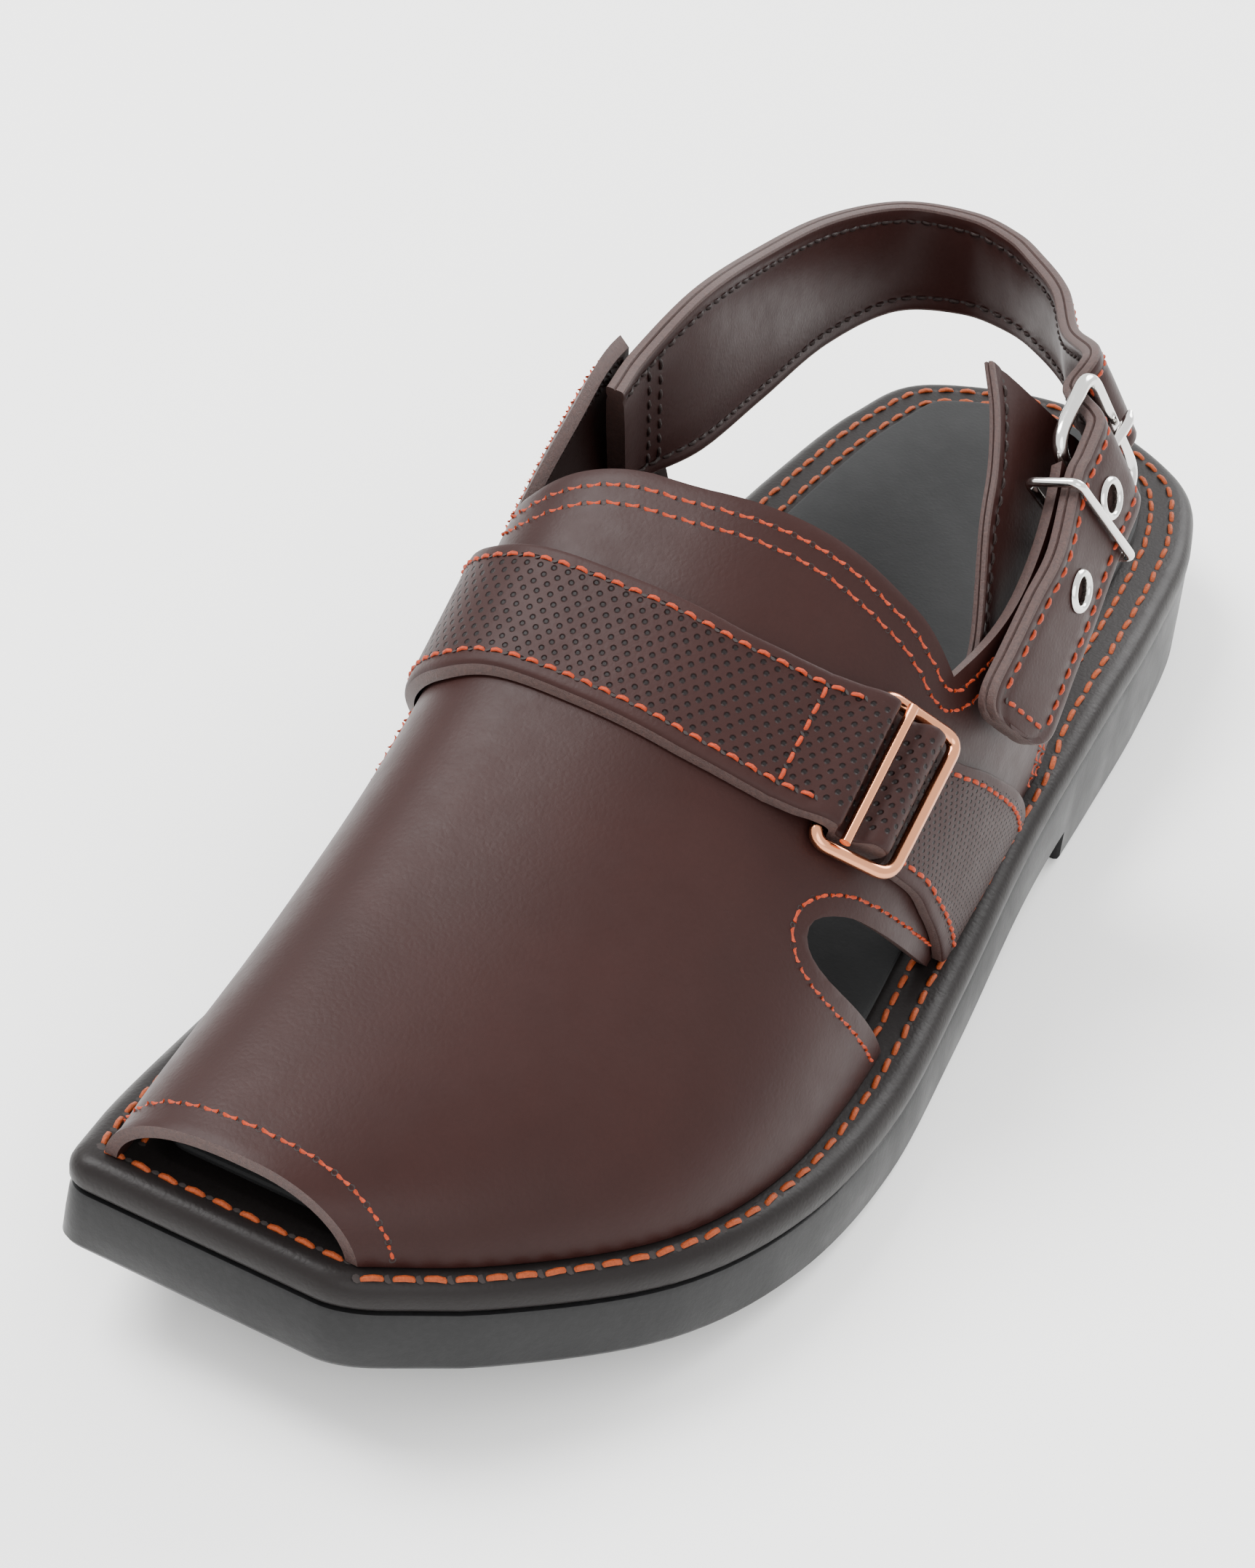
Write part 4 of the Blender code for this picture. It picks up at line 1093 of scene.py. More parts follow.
def sew(name, paths, mat, pitch=STITCH_PITCH, width=THREAD_WIDTH, slot="brown_leather"):
    """One piece with a raised stitch at every step of the paths and a needle hole between two, a disc painted
    dark as painted shade.
    """
    verts, faces, slots = [], [], []
    for path in paths:
        if len(path) < 2:
            continue
        places = resample(path, pitch)
        for (a, up_a), (b, up_b) in zip(places, places[1:]):
            along = (b - a).normalized()
            normal = (up_a + up_b).normalized()
            slant = along.cross(normal) * RANDOM.uniform(-0.05, 0.05) * pitch
            first = a + along * STITCH_GAP / 2 - slant
            last = b - along * STITCH_GAP / 2 + slant
            side = (last - first).normalized().cross(normal).normalized()
            start = len(verts)
            for share, thick, lift in STITCH_SHAPE:
                middle = first.lerp(last, share) + normal * lift * width
                for k in range(THREAD_SIDES):
                    angle = 2 * math.pi * k / THREAD_SIDES
                    spoke = side * math.cos(angle) + normal * math.sin(angle) * 0.85
                    verts.append(middle + spoke * width / 2 * thick)
            rings = len(STITCH_SHAPE)
            for r in range(rings - 1):
                for k in range(THREAD_SIDES):
                    n = (k + 1) % THREAD_SIDES
                    low, high = start + r * THREAD_SIDES, start + (r + 1) * THREAD_SIDES
                    faces.append((low + k, high + k, high + n, low + n))
                    slots.append(0)
            faces.append(tuple(start + k for k in range(THREAD_SIDES)))
            faces.append(tuple(start + (rings - 1) * THREAD_SIDES + k for k in range(THREAD_SIDES))[::-1])
            slots += [0, 0]
        # Each needle hole is a small disc painted dark: painted shade
        for point, normal in places:
            ring_start = len(verts)
            a = normal.orthogonal().normalized()
            b = normal.cross(a)
            verts.append(point + normal * width * 0.07)
            for k in range(HOLE_SIDES):
                angle = 2 * math.pi * k / HOLE_SIDES
                spoke = a * math.cos(angle) + b * math.sin(angle)
                verts.append(point + spoke * width * 0.70 - normal * width * 0.03)
            for k in range(HOLE_SIDES):
                faces.append((ring_start, ring_start + 1 + k, ring_start + 1 + (k + 1) % HOLE_SIDES))
                slots.append(1)
    return dress(add_piece(name, verts, faces, [mat, NEEDLE_HOLE_SHADE], slots, 60), slot)


# Sole
def outsole_top(y):
    return top_at(y) - RAND_THICKNESS - SEAT_GAP


SOFT = 0.0011
sole = slab("outsole_skin", (
    (SOFT, floor_at),
    (SOFT * 0.3, lambda y: floor_at(y) + SOFT * 0.3),
    (0.0, lambda y: floor_at(y) + SOFT),
    (WALL_FLARE * 0.45, lambda y: (floor_at(y) + outsole_top(y)) / 2),
    (WALL_FLARE, lambda y: outsole_top(y) - SOFT),
    (WALL_FLARE + SOFT * 0.3, lambda y: outsole_top(y) - SOFT * 0.3),
    (WALL_FLARE + SOFT, outsole_top),
), [RUBBER])
dress(sole, "black_rubber", "outsole")


def rand_rings():
    rings = [
        (WALL_FLARE + SOFT, lambda y: top_at(y) - RAND_THICKNESS),
        (WALL_FLARE + SOFT * 0.3, lambda y: top_at(y) - RAND_THICKNESS + SOFT * 0.3),
        (WALL_FLARE, lambda y: top_at(y) - RAND_THICKNESS + SOFT),
    ]
    for k in range(7):
        angle = math.pi / 2 * k / 6
        drop = RAND_ROUND * (1 - math.sin(angle))
        rings.append((WALL_FLARE + RAND_ROUND * (1 - math.cos(angle)), lambda y, drop=drop: top_at(y) - drop))
    return rings


dress(slab("rand_leather", rand_rings(), [RIM]), "dark_leather", "rand")

PAD_ROUND = INSOLE_THICKNESS * 0.45
dress(slab("insole_pad", (
    (INSOLE_INSET + 0.0003, lambda y: top_at(y) + SEAT_GAP),
    (INSOLE_INSET, lambda y: top_at(y) + SEAT_GAP + INSOLE_THICKNESS - PAD_ROUND),
    (INSOLE_INSET + PAD_ROUND * 0.3, lambda y: top_at(y) + SEAT_GAP + INSOLE_THICKNESS - PAD_ROUND * 0.3),
    (INSOLE_INSET + PAD_ROUND, lambda y: top_at(y) + SEAT_GAP + INSOLE_THICKNESS),
), [PAD]), "charcoal_lining", "insole")

RIM_ROWS = (0.0056, 0.0096)
RIM_PITCH = 0.0044
RIM_TOE_INSET = 0.0052
RIM_THREAD_WIDTH = 0.0010
# Stations of the stitch rows as shares of the length: the outer one keeps beside the upper's foot, eases back
# to its own inset, and goes on round the heel
RIM_START = 0.02
RIM_REACH = 0.640
RIM_STEPS = 160
RIM_FOOT_GAP = 0.0017
RIM_EASE_START = 0.60
RIM_EASE_SPAN = 0.06
RIM_HEEL_START = 0.662


def rim_path(side, inset, start):
    """A stitch row on the rand's flat top, from a station back."""
    path = []
    for p in sides_of(inset)[side]:
        if share_of(p.y) < start:
            continue
        path.append((Vector((p.x, p.y, top_at(p.y))), Vector((0, 0, 1))))
    return path


def outer_rim_path(side):
    """The outer stitch row, pushed outward onto the rand's round where the upper stands in its way."""
    path = []
    for i in range(RIM_STEPS + 1):
        station = RIM_START + RIM_REACH * i / RIM_STEPS
        y = station_y(station)
        share = table_at(SECTIONS, station)[7]
        foot = BASE_INSET * (share if side == 0 else 1.0)
        inset = min(RIM_ROWS[0], foot - RIM_FOOT_GAP)
        if station > RIM_EASE_START:
            inset += (RIM_ROWS[0] - inset) * smooth((station - RIM_EASE_START) / RIM_EASE_SPAN)
        drop = max(WALL_FLARE + RAND_ROUND - inset, 0.0)
        height = top_at(y) - RAND_ROUND + math.sqrt(max(RAND_ROUND ** 2 - drop ** 2, 0.0))
        place = point_at_y(sides_of(inset)[side], y)
        lean = Vector(((1 - 2 * side) * drop / RAND_ROUND, 0, 1)).normalized()
        path.append((Vector((place.x, y, height)), lean))
    for p in sides_of(RIM_ROWS[0])[side]:
        if share_of(p.y) > RIM_HEEL_START:
            path.append((Vector((p.x, p.y, top_at(p.y))), Vector((0, 0, 1))))
    return path


def toe_rim_path(inset):
    """A straight stitch row along the toe's edge."""
    lateral, medial = sides_of(inset)
    a, b = lateral[0], medial[0]
    steps = 40
    places = [a.lerp(b, i / steps) for i in range(steps + 1)]
    return [(Vector((p.x, p.y, top_at(p.y))), Vector((0, 0, 1))) for p in places]


def joined(lateral, medial):
    """One row from the lateral side round the heel to the medial side."""
    return lateral + medial[::-1]


sew("rim_stitches", [
    joined(outer_rim_path(0), outer_rim_path(1)),
    joined(rim_path(0, RIM_ROWS[1], RIM_START), rim_path(1, RIM_ROWS[1], RIM_START)),
    toe_rim_path(RIM_TOE_INSET),
], AMBER, RIM_PITCH, RIM_THREAD_WIDTH, "dark_leather")


# Upper
def applied(piece):
    """The piece with its modifiers made into its mesh."""
    graph = bpy.context.evaluated_depsgraph_get()
    mesh = bpy.data.meshes.new_from_object(piece.evaluated_get(graph))
    piece.modifiers.clear()
    piece.data = mesh
    return piece


def prism(ring, depth, mat):
    """A cutter: a flat ring of points pushed along a vector."""
    count = len(ring)
    points = list(ring) + [p + depth for p in ring]
    faces = [(i, (i + 1) % count, count + (i + 1) % count, count + i) for i in range(count)]
    faces += [tuple(range(count))[::-1], tuple(range(count, 2 * count))]
    mesh = bpy.data.meshes.new("cutter")
    mesh.from_pydata([tuple(p) for p in points], [], faces)
    mesh.materials.append(mat)
    solid = bmesh.new()
    solid.from_mesh(mesh)
    bmesh.ops.recalc_face_normals(solid, faces=solid.faces)
    solid.to_mesh(mesh)
    solid.free()
    piece = bpy.data.objects.new("cutter", mesh)
    bpy.context.scene.collection.objects.link(piece)
    return piece


def cut_all(piece, cutters, edge_width=0.0, smooth_angle=35):
    """Cuts the piece, softens its edges and removes the cutters."""
    for cutter in cutters:
        modifier = piece.modifiers.new("cut", "BOOLEAN")
        modifier.operation = "DIFFERENCE"
        modifier.solver = "EXACT"
        modifier.material_mode = "TRANSFER"
        modifier.object = cutter
    if edge_width:
        soft = piece.modifiers.new("edge", "BEVEL")
        soft.width = edge_width
        soft.segments = 2
        soft.limit_method = "ANGLE"
        soft.angle_limit = math.radians(55)
    applied(piece)
    for cutter in cutters:
        bpy.data.objects.remove(cutter, do_unlink=True)
    piece.data.shade_smooth()
    piece.data.set_sharp_from_angle(angle=math.radians(smooth_angle))
    return piece


PLACES, QUADS = upper_places()
OUTER = [upper_point(y, turn) for y, turn in PLACES]
INNER = [upper_point(y, turn, -LEATHER) for y, turn in PLACES]
OUTER_TREE = BVHTree.FromPolygons(OUTER, QUADS)
INNER_TREE = BVHTree.FromPolygons(INNER, [quad[::-1] for quad in QUADS])
UPPER = shell("upper_leather", OUTER, INNER, QUADS, [BROWN, LINING, CUT_EDGE])


# The slot's cutter: how far it goes outward and where it starts from the middle
CUTTER_REACH = BALL_WIDTH * 0.62
CUTTER_START = CUTTER_REACH * 0.22


def slot_cutter(sign):
    return prism(slot_ring(sign * CUTTER_START), Vector((sign * CUTTER_REACH, 0, 0)), CUT_EDGE)


UPPER_EDGE_ROUND = 0.00045
cut_all(UPPER, [slot_cutter(1), slot_cutter(-1)], UPPER_EDGE_ROUND)
dress(UPPER, "brown_leather", "upper")

STITCH_IN = (0.0029, 0.0062)


def flap_edge_path():
    first, last = FLAP_COLUMNS
    turns = edge_turns()
    path = []
    for i in range(first, last + 1):
        station = table_at(FLAP_EDGE, flap_share(i))[0]
        path.append(upper_point(station_y(station), turns[i]))
    return path


def quarter_edge_path(side):
    """The quarter's edge from the valley along its top and down its rear to the base."""
    path = []
    for k in range(41):
        station, height = quarter_place(side, k / 40, 1.0)
        path.append(wall_point(station, height, side))
    for k in range(1, 61):
        station, height = quarter_place(side, 1.0, 1 - k / 60)
        path.append(wall_point(station, height, side))
    return path


def above_base(path, clear=0.0016):
    """The part of a row that stands clear of the rand."""
    return [item for item in path if item[0].z > top_at(item[0].y) + clear]


SLOT_STITCH_IN = 0.0032
TOE_STITCH_IN = 0.0048
SLOT_ROW_BELOW = 0.004
TOE_STEPS = 96
lateral_edge = quarter_edge_path(0)
medial_edge = quarter_edge_path(1)
top_edge = lateral_edge[:0:-1] + flap_edge_path() + medial_edge[1:]
slot_rows = []
for sign in (1, -1):
    ring = [p for p in slot_ring(0.0) if p.z > top_at(station_y(SLOT_PLACE)) - SLOT_ROW_BELOW]
    wall = []
    for p in ring:
        hit, _, _, _ = OUTER_TREE.ray_cast(Vector((sign * BALL_WIDTH, p.y, p.z)), Vector((-sign, 0, 0)))
        if hit:
            wall.append(hit)
    slot_rows.append(above_base(offset_path(OUTER_TREE, wall, -SLOT_STITCH_IN * sign)))

toe_edge = []
for k in range(TOE_STEPS + 1):
    across = k / TOE_STEPS
    station = TOE_EDGE[0] + (TOE_EDGE[1] - TOE_EDGE[0]) * across
    toe_edge.append(upper_point(station_y(station), across))

upper_rows = [above_base(offset_path(OUTER_TREE, top_edge, -distance)) for distance in STITCH_IN]
upper_rows += [above_base(offset_path(OUTER_TREE, toe_edge, TOE_STITCH_IN), 0.001)]
upper_rows += slot_rows
sew("upper_stitches", upper_rows, ORANGE)
inner_rows = [above_base(offset_path(INNER_TREE, top_edge, distance)) for distance in STITCH_IN]
sew("upper_inner_stitches", inner_rows, DARK_THREAD)


# Instep band
def strip_skin(name, rows, place, low_out, high_out, mats, slot, node):
    """A punched strip on the upper with rounded long edges, laid out in metres for its holes."""
    borders = (0.0, 0.008, 0.022, 0.045, 0.075)
    shares = list(borders) + [0.075 + 0.85 * k / 16 for k in range(1, 16)] + [1 - b for b in borders[::-1]]
    drops = (0.55, 0.22, 0.06, 0.0, 0.0)
    columns = len(shares) - 1
    low, high, flat, border = [], [], [], []
    gone = 0.0
    before = None
    for r in range(rows + 1):
        middle = upper_point(*place(r / rows, 0.5), high_out(place(r / rows, 0.5)[1]))
        gone += (middle - before).length if before else 0.0
        before = middle
        line = []
        for c, v in enumerate(shares):
            y, turn = place(r / rows, v)
            near = min(c, columns - c)
            drop = BAND_THICKNESS * 0.42 * (drops[near] if near < len(drops) else 0.0)
            low.append(upper_point(y, turn, low_out(turn)))
            line.append(upper_point(y, turn, high_out(turn) - drop))
        high += line
        width = sum((b - a).length for a, b in zip(line, line[1:]))
        flat += [(gone, (v - 0.5) * width) for v in shares]
        border += [min(v, 1 - v) * width for v in shares]
    quads = []
    for r in range(rows):
        for c in range(columns):
            a = r * (columns + 1) + c
            quads.append([a, a + 1, a + columns + 2, a + columns + 1])
    piece = shell(name, high, low, quads, mats, 50)
    mesh = piece.data
    layer = mesh.uv_layers.new(name="strip")
    for loop in mesh.loops:
        layer.data[loop.index].uv = flat[loop.vertex_index % len(flat)]
    attribute = mesh.attributes.new("border", "FLOAT", "POINT")
    for i in range(len(mesh.vertices)):
        attribute.data[i].value = border[i % len(border)]
    return dress(piece, slot, node)


def band_low(turn):
    return SEAT_GAP * 0.5 + table_at(BAND_LIFT, turn)[0] * BAND_THICKNESS * 0.9


def band_high(turn):
    return SEAT_GAP * 0.5 + table_at(BAND_LIFT, turn)[1] * BAND_THICKNESS


def anchor_place(u, v):
    return band_place(0.004 + (ANCHOR_END - 0.004) * u, v, 1.02)


strip_skin("instep_band_leather", 180, lambda u, v: band_place(band_turn(u), v), band_low, band_high,
           [PUNCHED, LINING, CUT_EDGE], "perforated_leather", "instep_band")
strip_skin("band_anchor_leather", 40, anchor_place, lambda turn: SEAT_GAP,
           lambda turn: SEAT_GAP + BAND_THICKNESS, [PUNCHED_FINE, LINING, CUT_EDGE],
           "perforated_leather", "band_anchor")


def strip_row(places, high_out):
    """Places and outward normals along a line on a strip's face."""
    row = []
    for y, turn in places:
        out = high_out(turn)
        point = upper_point(y, turn, out)
        outward = upper_point(y, turn, out + 0.001) - upper_point(y, turn, out - 0.001)
        row.append((point, outward.normalized()))
    return row


def flat_out(turn):
    """The outer face of a strip that lies on the upper, the same at every turn."""
    return SEAT_GAP + BAND_THICKNESS


# Stitch rows of the band: their distance from its long edges as a share of its width, the turns where the
# long rows start and how much of them they cover, and the turn of the row across the roll
BAND_STITCH = 0.105
BAND_ROW_START = 0.288
BAND_ROW_SPAN = BAND_END - 0.292
BAND_CROSS = 0.322
ANCHOR_CROSS = 0.93
band_rows = []
for v in (BAND_STITCH, 1 - BAND_STITCH):
    turns = [BAND_ROW_START + BAND_ROW_SPAN * k / 160 for k in range(161)]
    band_rows.append(strip_row([band_place(turn, v) for turn in turns], band_high))
    band_rows.append(strip_row([anchor_place(k / 30 * ANCHOR_CROSS, v) for k in range(31)], flat_out))
crossing = [BAND_STITCH + (1 - 2 * BAND_STITCH) * k / 20 for k in range(21)]
band_rows.append(strip_row([band_place(BAND_CROSS, v) for v in crossing], band_high))
band_rows.append(strip_row([anchor_place(ANCHOR_CROSS, v) for v in crossing], flat_out))
sew("band_stitches", band_rows, ORANGE, slot="perforated_leather")

# Slide buckle
SLIDE_CORNERS = ((LEFT_BAR, -1), (LEFT_BAR, 1), (RIGHT_BAR, 1), (RIGHT_BAR, -1))
corners = [slide_corner(bar, end) for bar, end in SLIDE_CORNERS]
slide = []
for i, corner in enumerate(corners):
    before = corner + (corners[i - 1] - corner).normalized() * SLIDE_ROUND
    after = corner + (corners[(i + 1) % 4] - corner).normalized() * SLIDE_ROUND
    slide += [bezier(before, corner, after, k / 10) for k in range(11)]
dress(wire("slide_frame_wire", slide, SLIDE_WIRE, ROSE_GOLD, closed=True, sides=24),
      "rose_gold_wire", "slide_frame")
ends = [slide_corner(CENTRE_BAR, -CENTRE_END), slide_corner(CENTRE_BAR, CENTRE_END)]
bar = [ends[0].lerp(ends[1], k / 12) for k in range(13)]
dress(wire("slide_bar_wire", bar, CENTRE_WIRE, ROSE_GOLD, sides=24), "rose_gold_wire", "slide_bar")


# Heel strap
def ribbon_profile(width, thickness):
    """Points round a strap's section: domed faces, a pressed line under each stitch row, layered edges."""
    half, deep = width / 2, thickness / 2
    round_off = 0.0006
    face = [(-half + round_off, deep), (-half + 0.0019, deep), (-half + STRAP_STITCH, deep - 0.00022),
            (-half + 0.0041, deep), (-half * 0.4, deep + 0.0001), (half * 0.4, deep + 0.0001),
            (half - 0.0041, deep), (half - STRAP_STITCH, deep - 0.00022), (half - 0.0019, deep),
            (half - round_off, deep)]
    edge = [(half - round_off * 0.25, deep - round_off * 0.3), (half, deep - round_off), (half, deep * 0.16),
            (half - 0.0004, 0.0), (half, -deep * 0.16), (half, -deep + round_off),
            (half - round_off * 0.25, -deep + round_off * 0.3)]
    return face, edge


STRAP_STITCH = 0.0029
STRAP_INNER_FACE = -1


def row_normal(rows, i):
    """The outward direction of a strap at one of its rows."""
    along = rows[min(i + 1, len(rows) - 1)][0] - rows[max(i - 1, 0)][0]
    return along.cross(rows[i][1]).normalized()


def ribbon(name, rows, thickness, mats, tips=(0.0, 0.0)):
    """A strap of two layers from rows of (centre, vector from low to high edge); tips round its ends off."""
    lengths = run_lengths([centre for centre, _ in rows])
    verts, faces, slots = [], [], []
    count = len(rows)
    for i, (centre, width) in enumerate(rows):
        normal = row_normal(rows, i)
        full = width.length
        for gone, tip in ((lengths[i], tips[0]), (lengths[-1] - lengths[i], tips[1])):
            if tip and gone < tip:
                full *= max(1 - (1 - gone / tip) ** 2.4, 0.0) ** 0.42 * 0.45 + 0.55
        across = width.normalized()
        face, edge = ribbon_profile(full, thickness)
        other = [(-u, -n) for u, n in face]
        back = [(-u, -n) for u, n in edge]
        section = face + edge + other + back
        verts += [centre + across * u + normal * n for u, n in section]
    size = len(section)
    flat = len(face)
    edge_size = len(edge)
    for i in range(count - 1):
        for k in range(size):
            n = (k + 1) % size
            faces.append((i * size + k, (i + 1) * size + k, (i + 1) * size + n, i * size + n))
            on_face = k < flat - 1 or flat + edge_size <= k < 2 * flat + edge_size - 1
            slots.append(0 if on_face else 1)
    faces.append(tuple(range(size)))
    faces.append(tuple((count - 1) * size + k for k in range(size))[::-1])
    slots += [1, 1]
    return add_piece(name, verts, faces, mats, slots, 45)


def ribbon_line(rows, share_in, face, thickness, start=0.0, end=0.0):
    """A stitch line along a strap: share_in is the distance from its edge (negative: the low edge)."""
    line = []
    lengths = run_lengths([centre for centre, _ in rows])
    for i, (centre, width) in enumerate(rows):
        if lengths[i] < start or lengths[i] > lengths[-1] - end:
            continue
        normal = row_normal(rows, i) * face
        sign = 1 if share_in > 0 else -1
        place = centre + width.normalized() * sign * (width.length / 2 - abs(share_in))
        line.append((place + normal * (thickness / 2 - 0.00018), normal))
    return line


def ribbon_cross(rows, distance, face, thickness, inset, from_end=False):
    """A stitch line across a strap at a distance from one end."""
    gone = 0.0
    order = rows[::-1] if from_end else rows
    for a, b in zip(order, order[1:]):
        step = (b[0] - a[0]).length
        if gone + step >= distance:
            centre = a[0].lerp(b[0], (distance - gone) / step)
            along = (b[0] - a[0]) * (-1 if from_end else 1)
            half = a[1].length / 2 - inset
            across = a[1].normalized()
            normal = along.cross(a[1]).normalized() * face
            face_middle = centre + normal * thickness / 2
            return [(face_middle + across * half * (k / 6 - 1), normal) for k in range(13)]
        gone += step


STRAP_ROWS = strap_rows()
STRAP = ribbon("heel_strap_leather", STRAP_ROWS, STRAP_THICKNESS, [BROWN, CUT_EDGE], (0.0065, 0.0))

# The first eyelet's place from the buckle's middle as a share of half its length, the second's from the
# strap's tip as a share of its width, and the hole's radius inside the eyelet's
EYELET_ONE = -1.06
EYELET_TWO = 1.36
EYELET_HOLE = EYELET_RADIUS - EYELET_WIRE * 0.28
EYELET_SHAPE = (
    # radius and height as shares of the wire's width beyond the eyelet's own radius and the strap's face
    (-0.46, -0.45),
    (-0.46, 0.10),
    (-0.38, 0.34),
    (-0.14, 0.52),
    (0.12, 0.56),
    (0.45, 0.36),
    (0.56, 0.06),
    (-0.20, 0.02),
    (-0.36, -0.10),
    (-0.38, -0.45),
)


def eyelet(name, face, along, up, out, node):
    """A pressed ring with a barrel that goes down into the hole."""
    verts, faces = [], []
    steps = 48
    size = len(EYELET_SHAPE)
    for k in range(steps):
        turn = 2 * math.pi * k / steps
        spoke = along * math.cos(turn) + up * math.sin(turn)
        for radius, height in EYELET_SHAPE:
            verts.append(face + spoke * (EYELET_RADIUS + radius * EYELET_WIRE) + out * height * EYELET_WIRE)
    for k in range(steps):
        n = (k + 1) % steps
        for s in range(size):
            t = (s + 1) % size
            faces.append((k * size + s, n * size + s, n * size + t, k * size + t))
    return dress(add_piece(name, verts, faces, [NICKEL], None, 50), "nickel_plate", node)


first = (by_buckle(EYELET_ONE * BUCKLE_LENGTH / 2, 0, CLEAR * FREE_OUT), BACK, UP, OUT)
cutters = []
for number, (middle, along, up, out) in enumerate((first, on_strap(EYELET_TWO * STRAP_WIDTH)), 1):
    up = out.cross(along)
    hole = flat_ring(middle - out * STRAP_THICKNESS, along, up, EYELET_HOLE, 24)
    cutters.append(prism(hole, out * STRAP_THICKNESS * 2, CUT_EDGE))
    face = middle + out * (STRAP_THICKNESS / 2 + SEAT_GAP * 0.5)
    eyelet("eyelet_ring_%d" % number, face, along, up, out, "eyelet_%d" % number)
# The prong's slot: its ends as shares of half the buckle's length, its half width, and where it starts and
# how deep it goes as shares of the clear distance
PRONG_SLOT = (-0.20, 0.62)
PRONG_SLOT_HALF = PRONG_WIRE * 0.7
PRONG_SLOT_START = -0.3
PRONG_SLOT_DEPTH = 1.35
slot = [by_buckle(PRONG_SLOT[end] * BUCKLE_LENGTH / 2, side * PRONG_SLOT_HALF, PRONG_SLOT_START * CLEAR)
        for end, side in ((0, -1), (1, -1), (1, 1), (0, 1))]
cutters.append(prism(slot, OUT * CLEAR * PRONG_SLOT_DEPTH, CUT_EDGE))
cut_all(STRAP, cutters)
dress(STRAP, "brown_leather", "heel_strap")

# Strap stitching: where the long rows stop short of the free tip and of the sewn end, then the rows across
# the tip and across the sewn end, each with its distance from that end and from the long edges
LONG_ROW_STOPS = (0.0045, 0.001)
TIP_ROW = 0.0034
TIP_ROW_IN = 0.0042
SEWN_ROWS = (0.0095, 0.0128)
SEWN_ROW_IN = 0.0032
strap_lines = {1: [], -1: []}
for face in (1, -1):
    for edge in (STRAP_STITCH, -STRAP_STITCH):
        strap_lines[face].append(ribbon_line(STRAP_ROWS, edge, face, STRAP_THICKNESS, *LONG_ROW_STOPS))
    strap_lines[face].append(ribbon_cross(STRAP_ROWS, TIP_ROW, face, STRAP_THICKNESS, TIP_ROW_IN))
for distance in SEWN_ROWS:
    strap_lines[STRAP_INNER_FACE].append(
        ribbon_cross(STRAP_ROWS, distance, STRAP_INNER_FACE, STRAP_THICKNESS, SEWN_ROW_IN, True))
sew("strap_stitches", strap_lines[-STRAP_INNER_FACE], ORANGE)
sew("strap_inner_stitches", strap_lines[STRAP_INNER_FACE], DARK_THREAD)

# Buckle
dress(wire("buckle_frame_wire",
           rounded_ring(HEART, BACK * BUCKLE_LENGTH / 2, UP * STRAP_WIDTH * BUCKLE_REACH, 0.0042, 12),
           BUCKLE_WIRE, NICKEL, closed=True, sides=24), "nickel_plate", "buckle_frame")
LOOP = (BUCKLE_WIRE + PRONG_WIRE) / 2 + SEAT_GAP
PRONG = (
    # share of half the buckle's length, then shares of the loop radius: back, out
    (-1.0, -0.50, -0.87),
    (-1.0, 0.00, -1.00),
    (-1.0, 0.60, -0.80),
    (-1.0, 0.98, -0.22),
    (-1.0, 1.70, 0.20),
    (0.0, -0.80, 0.36),
    (0.0, 0.60, 0.50),
    (1.0, -1.70, 0.78),
    (1.0, 0.00, 1.06),
    (1.0, 1.00, 0.95),
)
knots = [by_buckle(half * BUCKLE_LENGTH / 2 + back * LOOP, 0, out * LOOP) for half, back, out in PRONG]
prong = catmull(knots, 8)
tip = [min(1.0, 0.55 + 0.45 * (len(prong) - 1 - i) / 6) for i in range(len(prong))]
dress(wire("buckle_prong_wire", prong, PRONG_WIRE, NICKEL, sides=20, taper=tip),
      "nickel_plate", "buckle_prong")

KEEPER_SLANT = 0.20
KEEPER_PLACE = 1.66
ring_up = (UP + BACK * -KEEPER_SLANT).normalized()
keeper_in = -(LEATHER / 2 + SEAT_GAP * 2 + KEEPER_WIRE / 2)
keeper_out = CLEAR * FREE_OUT + STRAP_THICKNESS / 2 + SEAT_GAP + KEEPER_WIRE / 2
keeper_middle = by_buckle(-KEEPER_PLACE * BUCKLE_LENGTH / 2, 0, (keeper_in + keeper_out) / 2)
keeper_ring = rounded_ring(keeper_middle, OUT * (keeper_out - keeper_in) / 2,
                           ring_up * (STRAP_WIDTH / 2 + KEEPER_WIRE), 0.0016, 10)
dress(wire("strap_keeper_wire", keeper_ring, KEEPER_WIRE, NICKEL, True, 18), "nickel_plate", "strap_keeper")

# Guard
GUARD_SHARE = 1.25
GUARD_END_SHARE = 1.15
GUARD_SLANT = 0.015
GUARD_OFF = GUARD_THICKNESS * 1.5
GUARD_START = (
    # station, height inside the lateral quarter
    (0.500, 0.400),
    (0.525, 0.450),
)
GUARD_PATH = (
    # places by the buckle as shares of its length: back, up, out, then leans across and along
    (-1.60, 0.05, -0.360, -0.30, -0.50),
    (-0.98, 0.29, -0.370, -0.34, -0.52),
    (-0.42, 0.54, -0.400, -0.42, -0.53),
    (0.05, 0.77, -0.470, -0.52, -0.53),
)
rows = []
for station, height in GUARD_START:
    rows.append(inside_row(station, height, GUARD_SLANT, 0, GUARD_OFF, GUARD_END_SHARE))
for back, up, out, across, along in GUARD_PATH:
    centre = by_buckle(back * BUCKLE_LENGTH, up * BUCKLE_LENGTH, out * BUCKLE_LENGTH)
    rows.append((centre, leaning(across, along) * STRAP_WIDTH * GUARD_SHARE))
guard_rows = smooth_rows(rows)
dress(ribbon("buckle_guard_leather", guard_rows, GUARD_THICKNESS, [BROWN, CUT_EDGE]),
      "brown_leather", "buckle_guard")
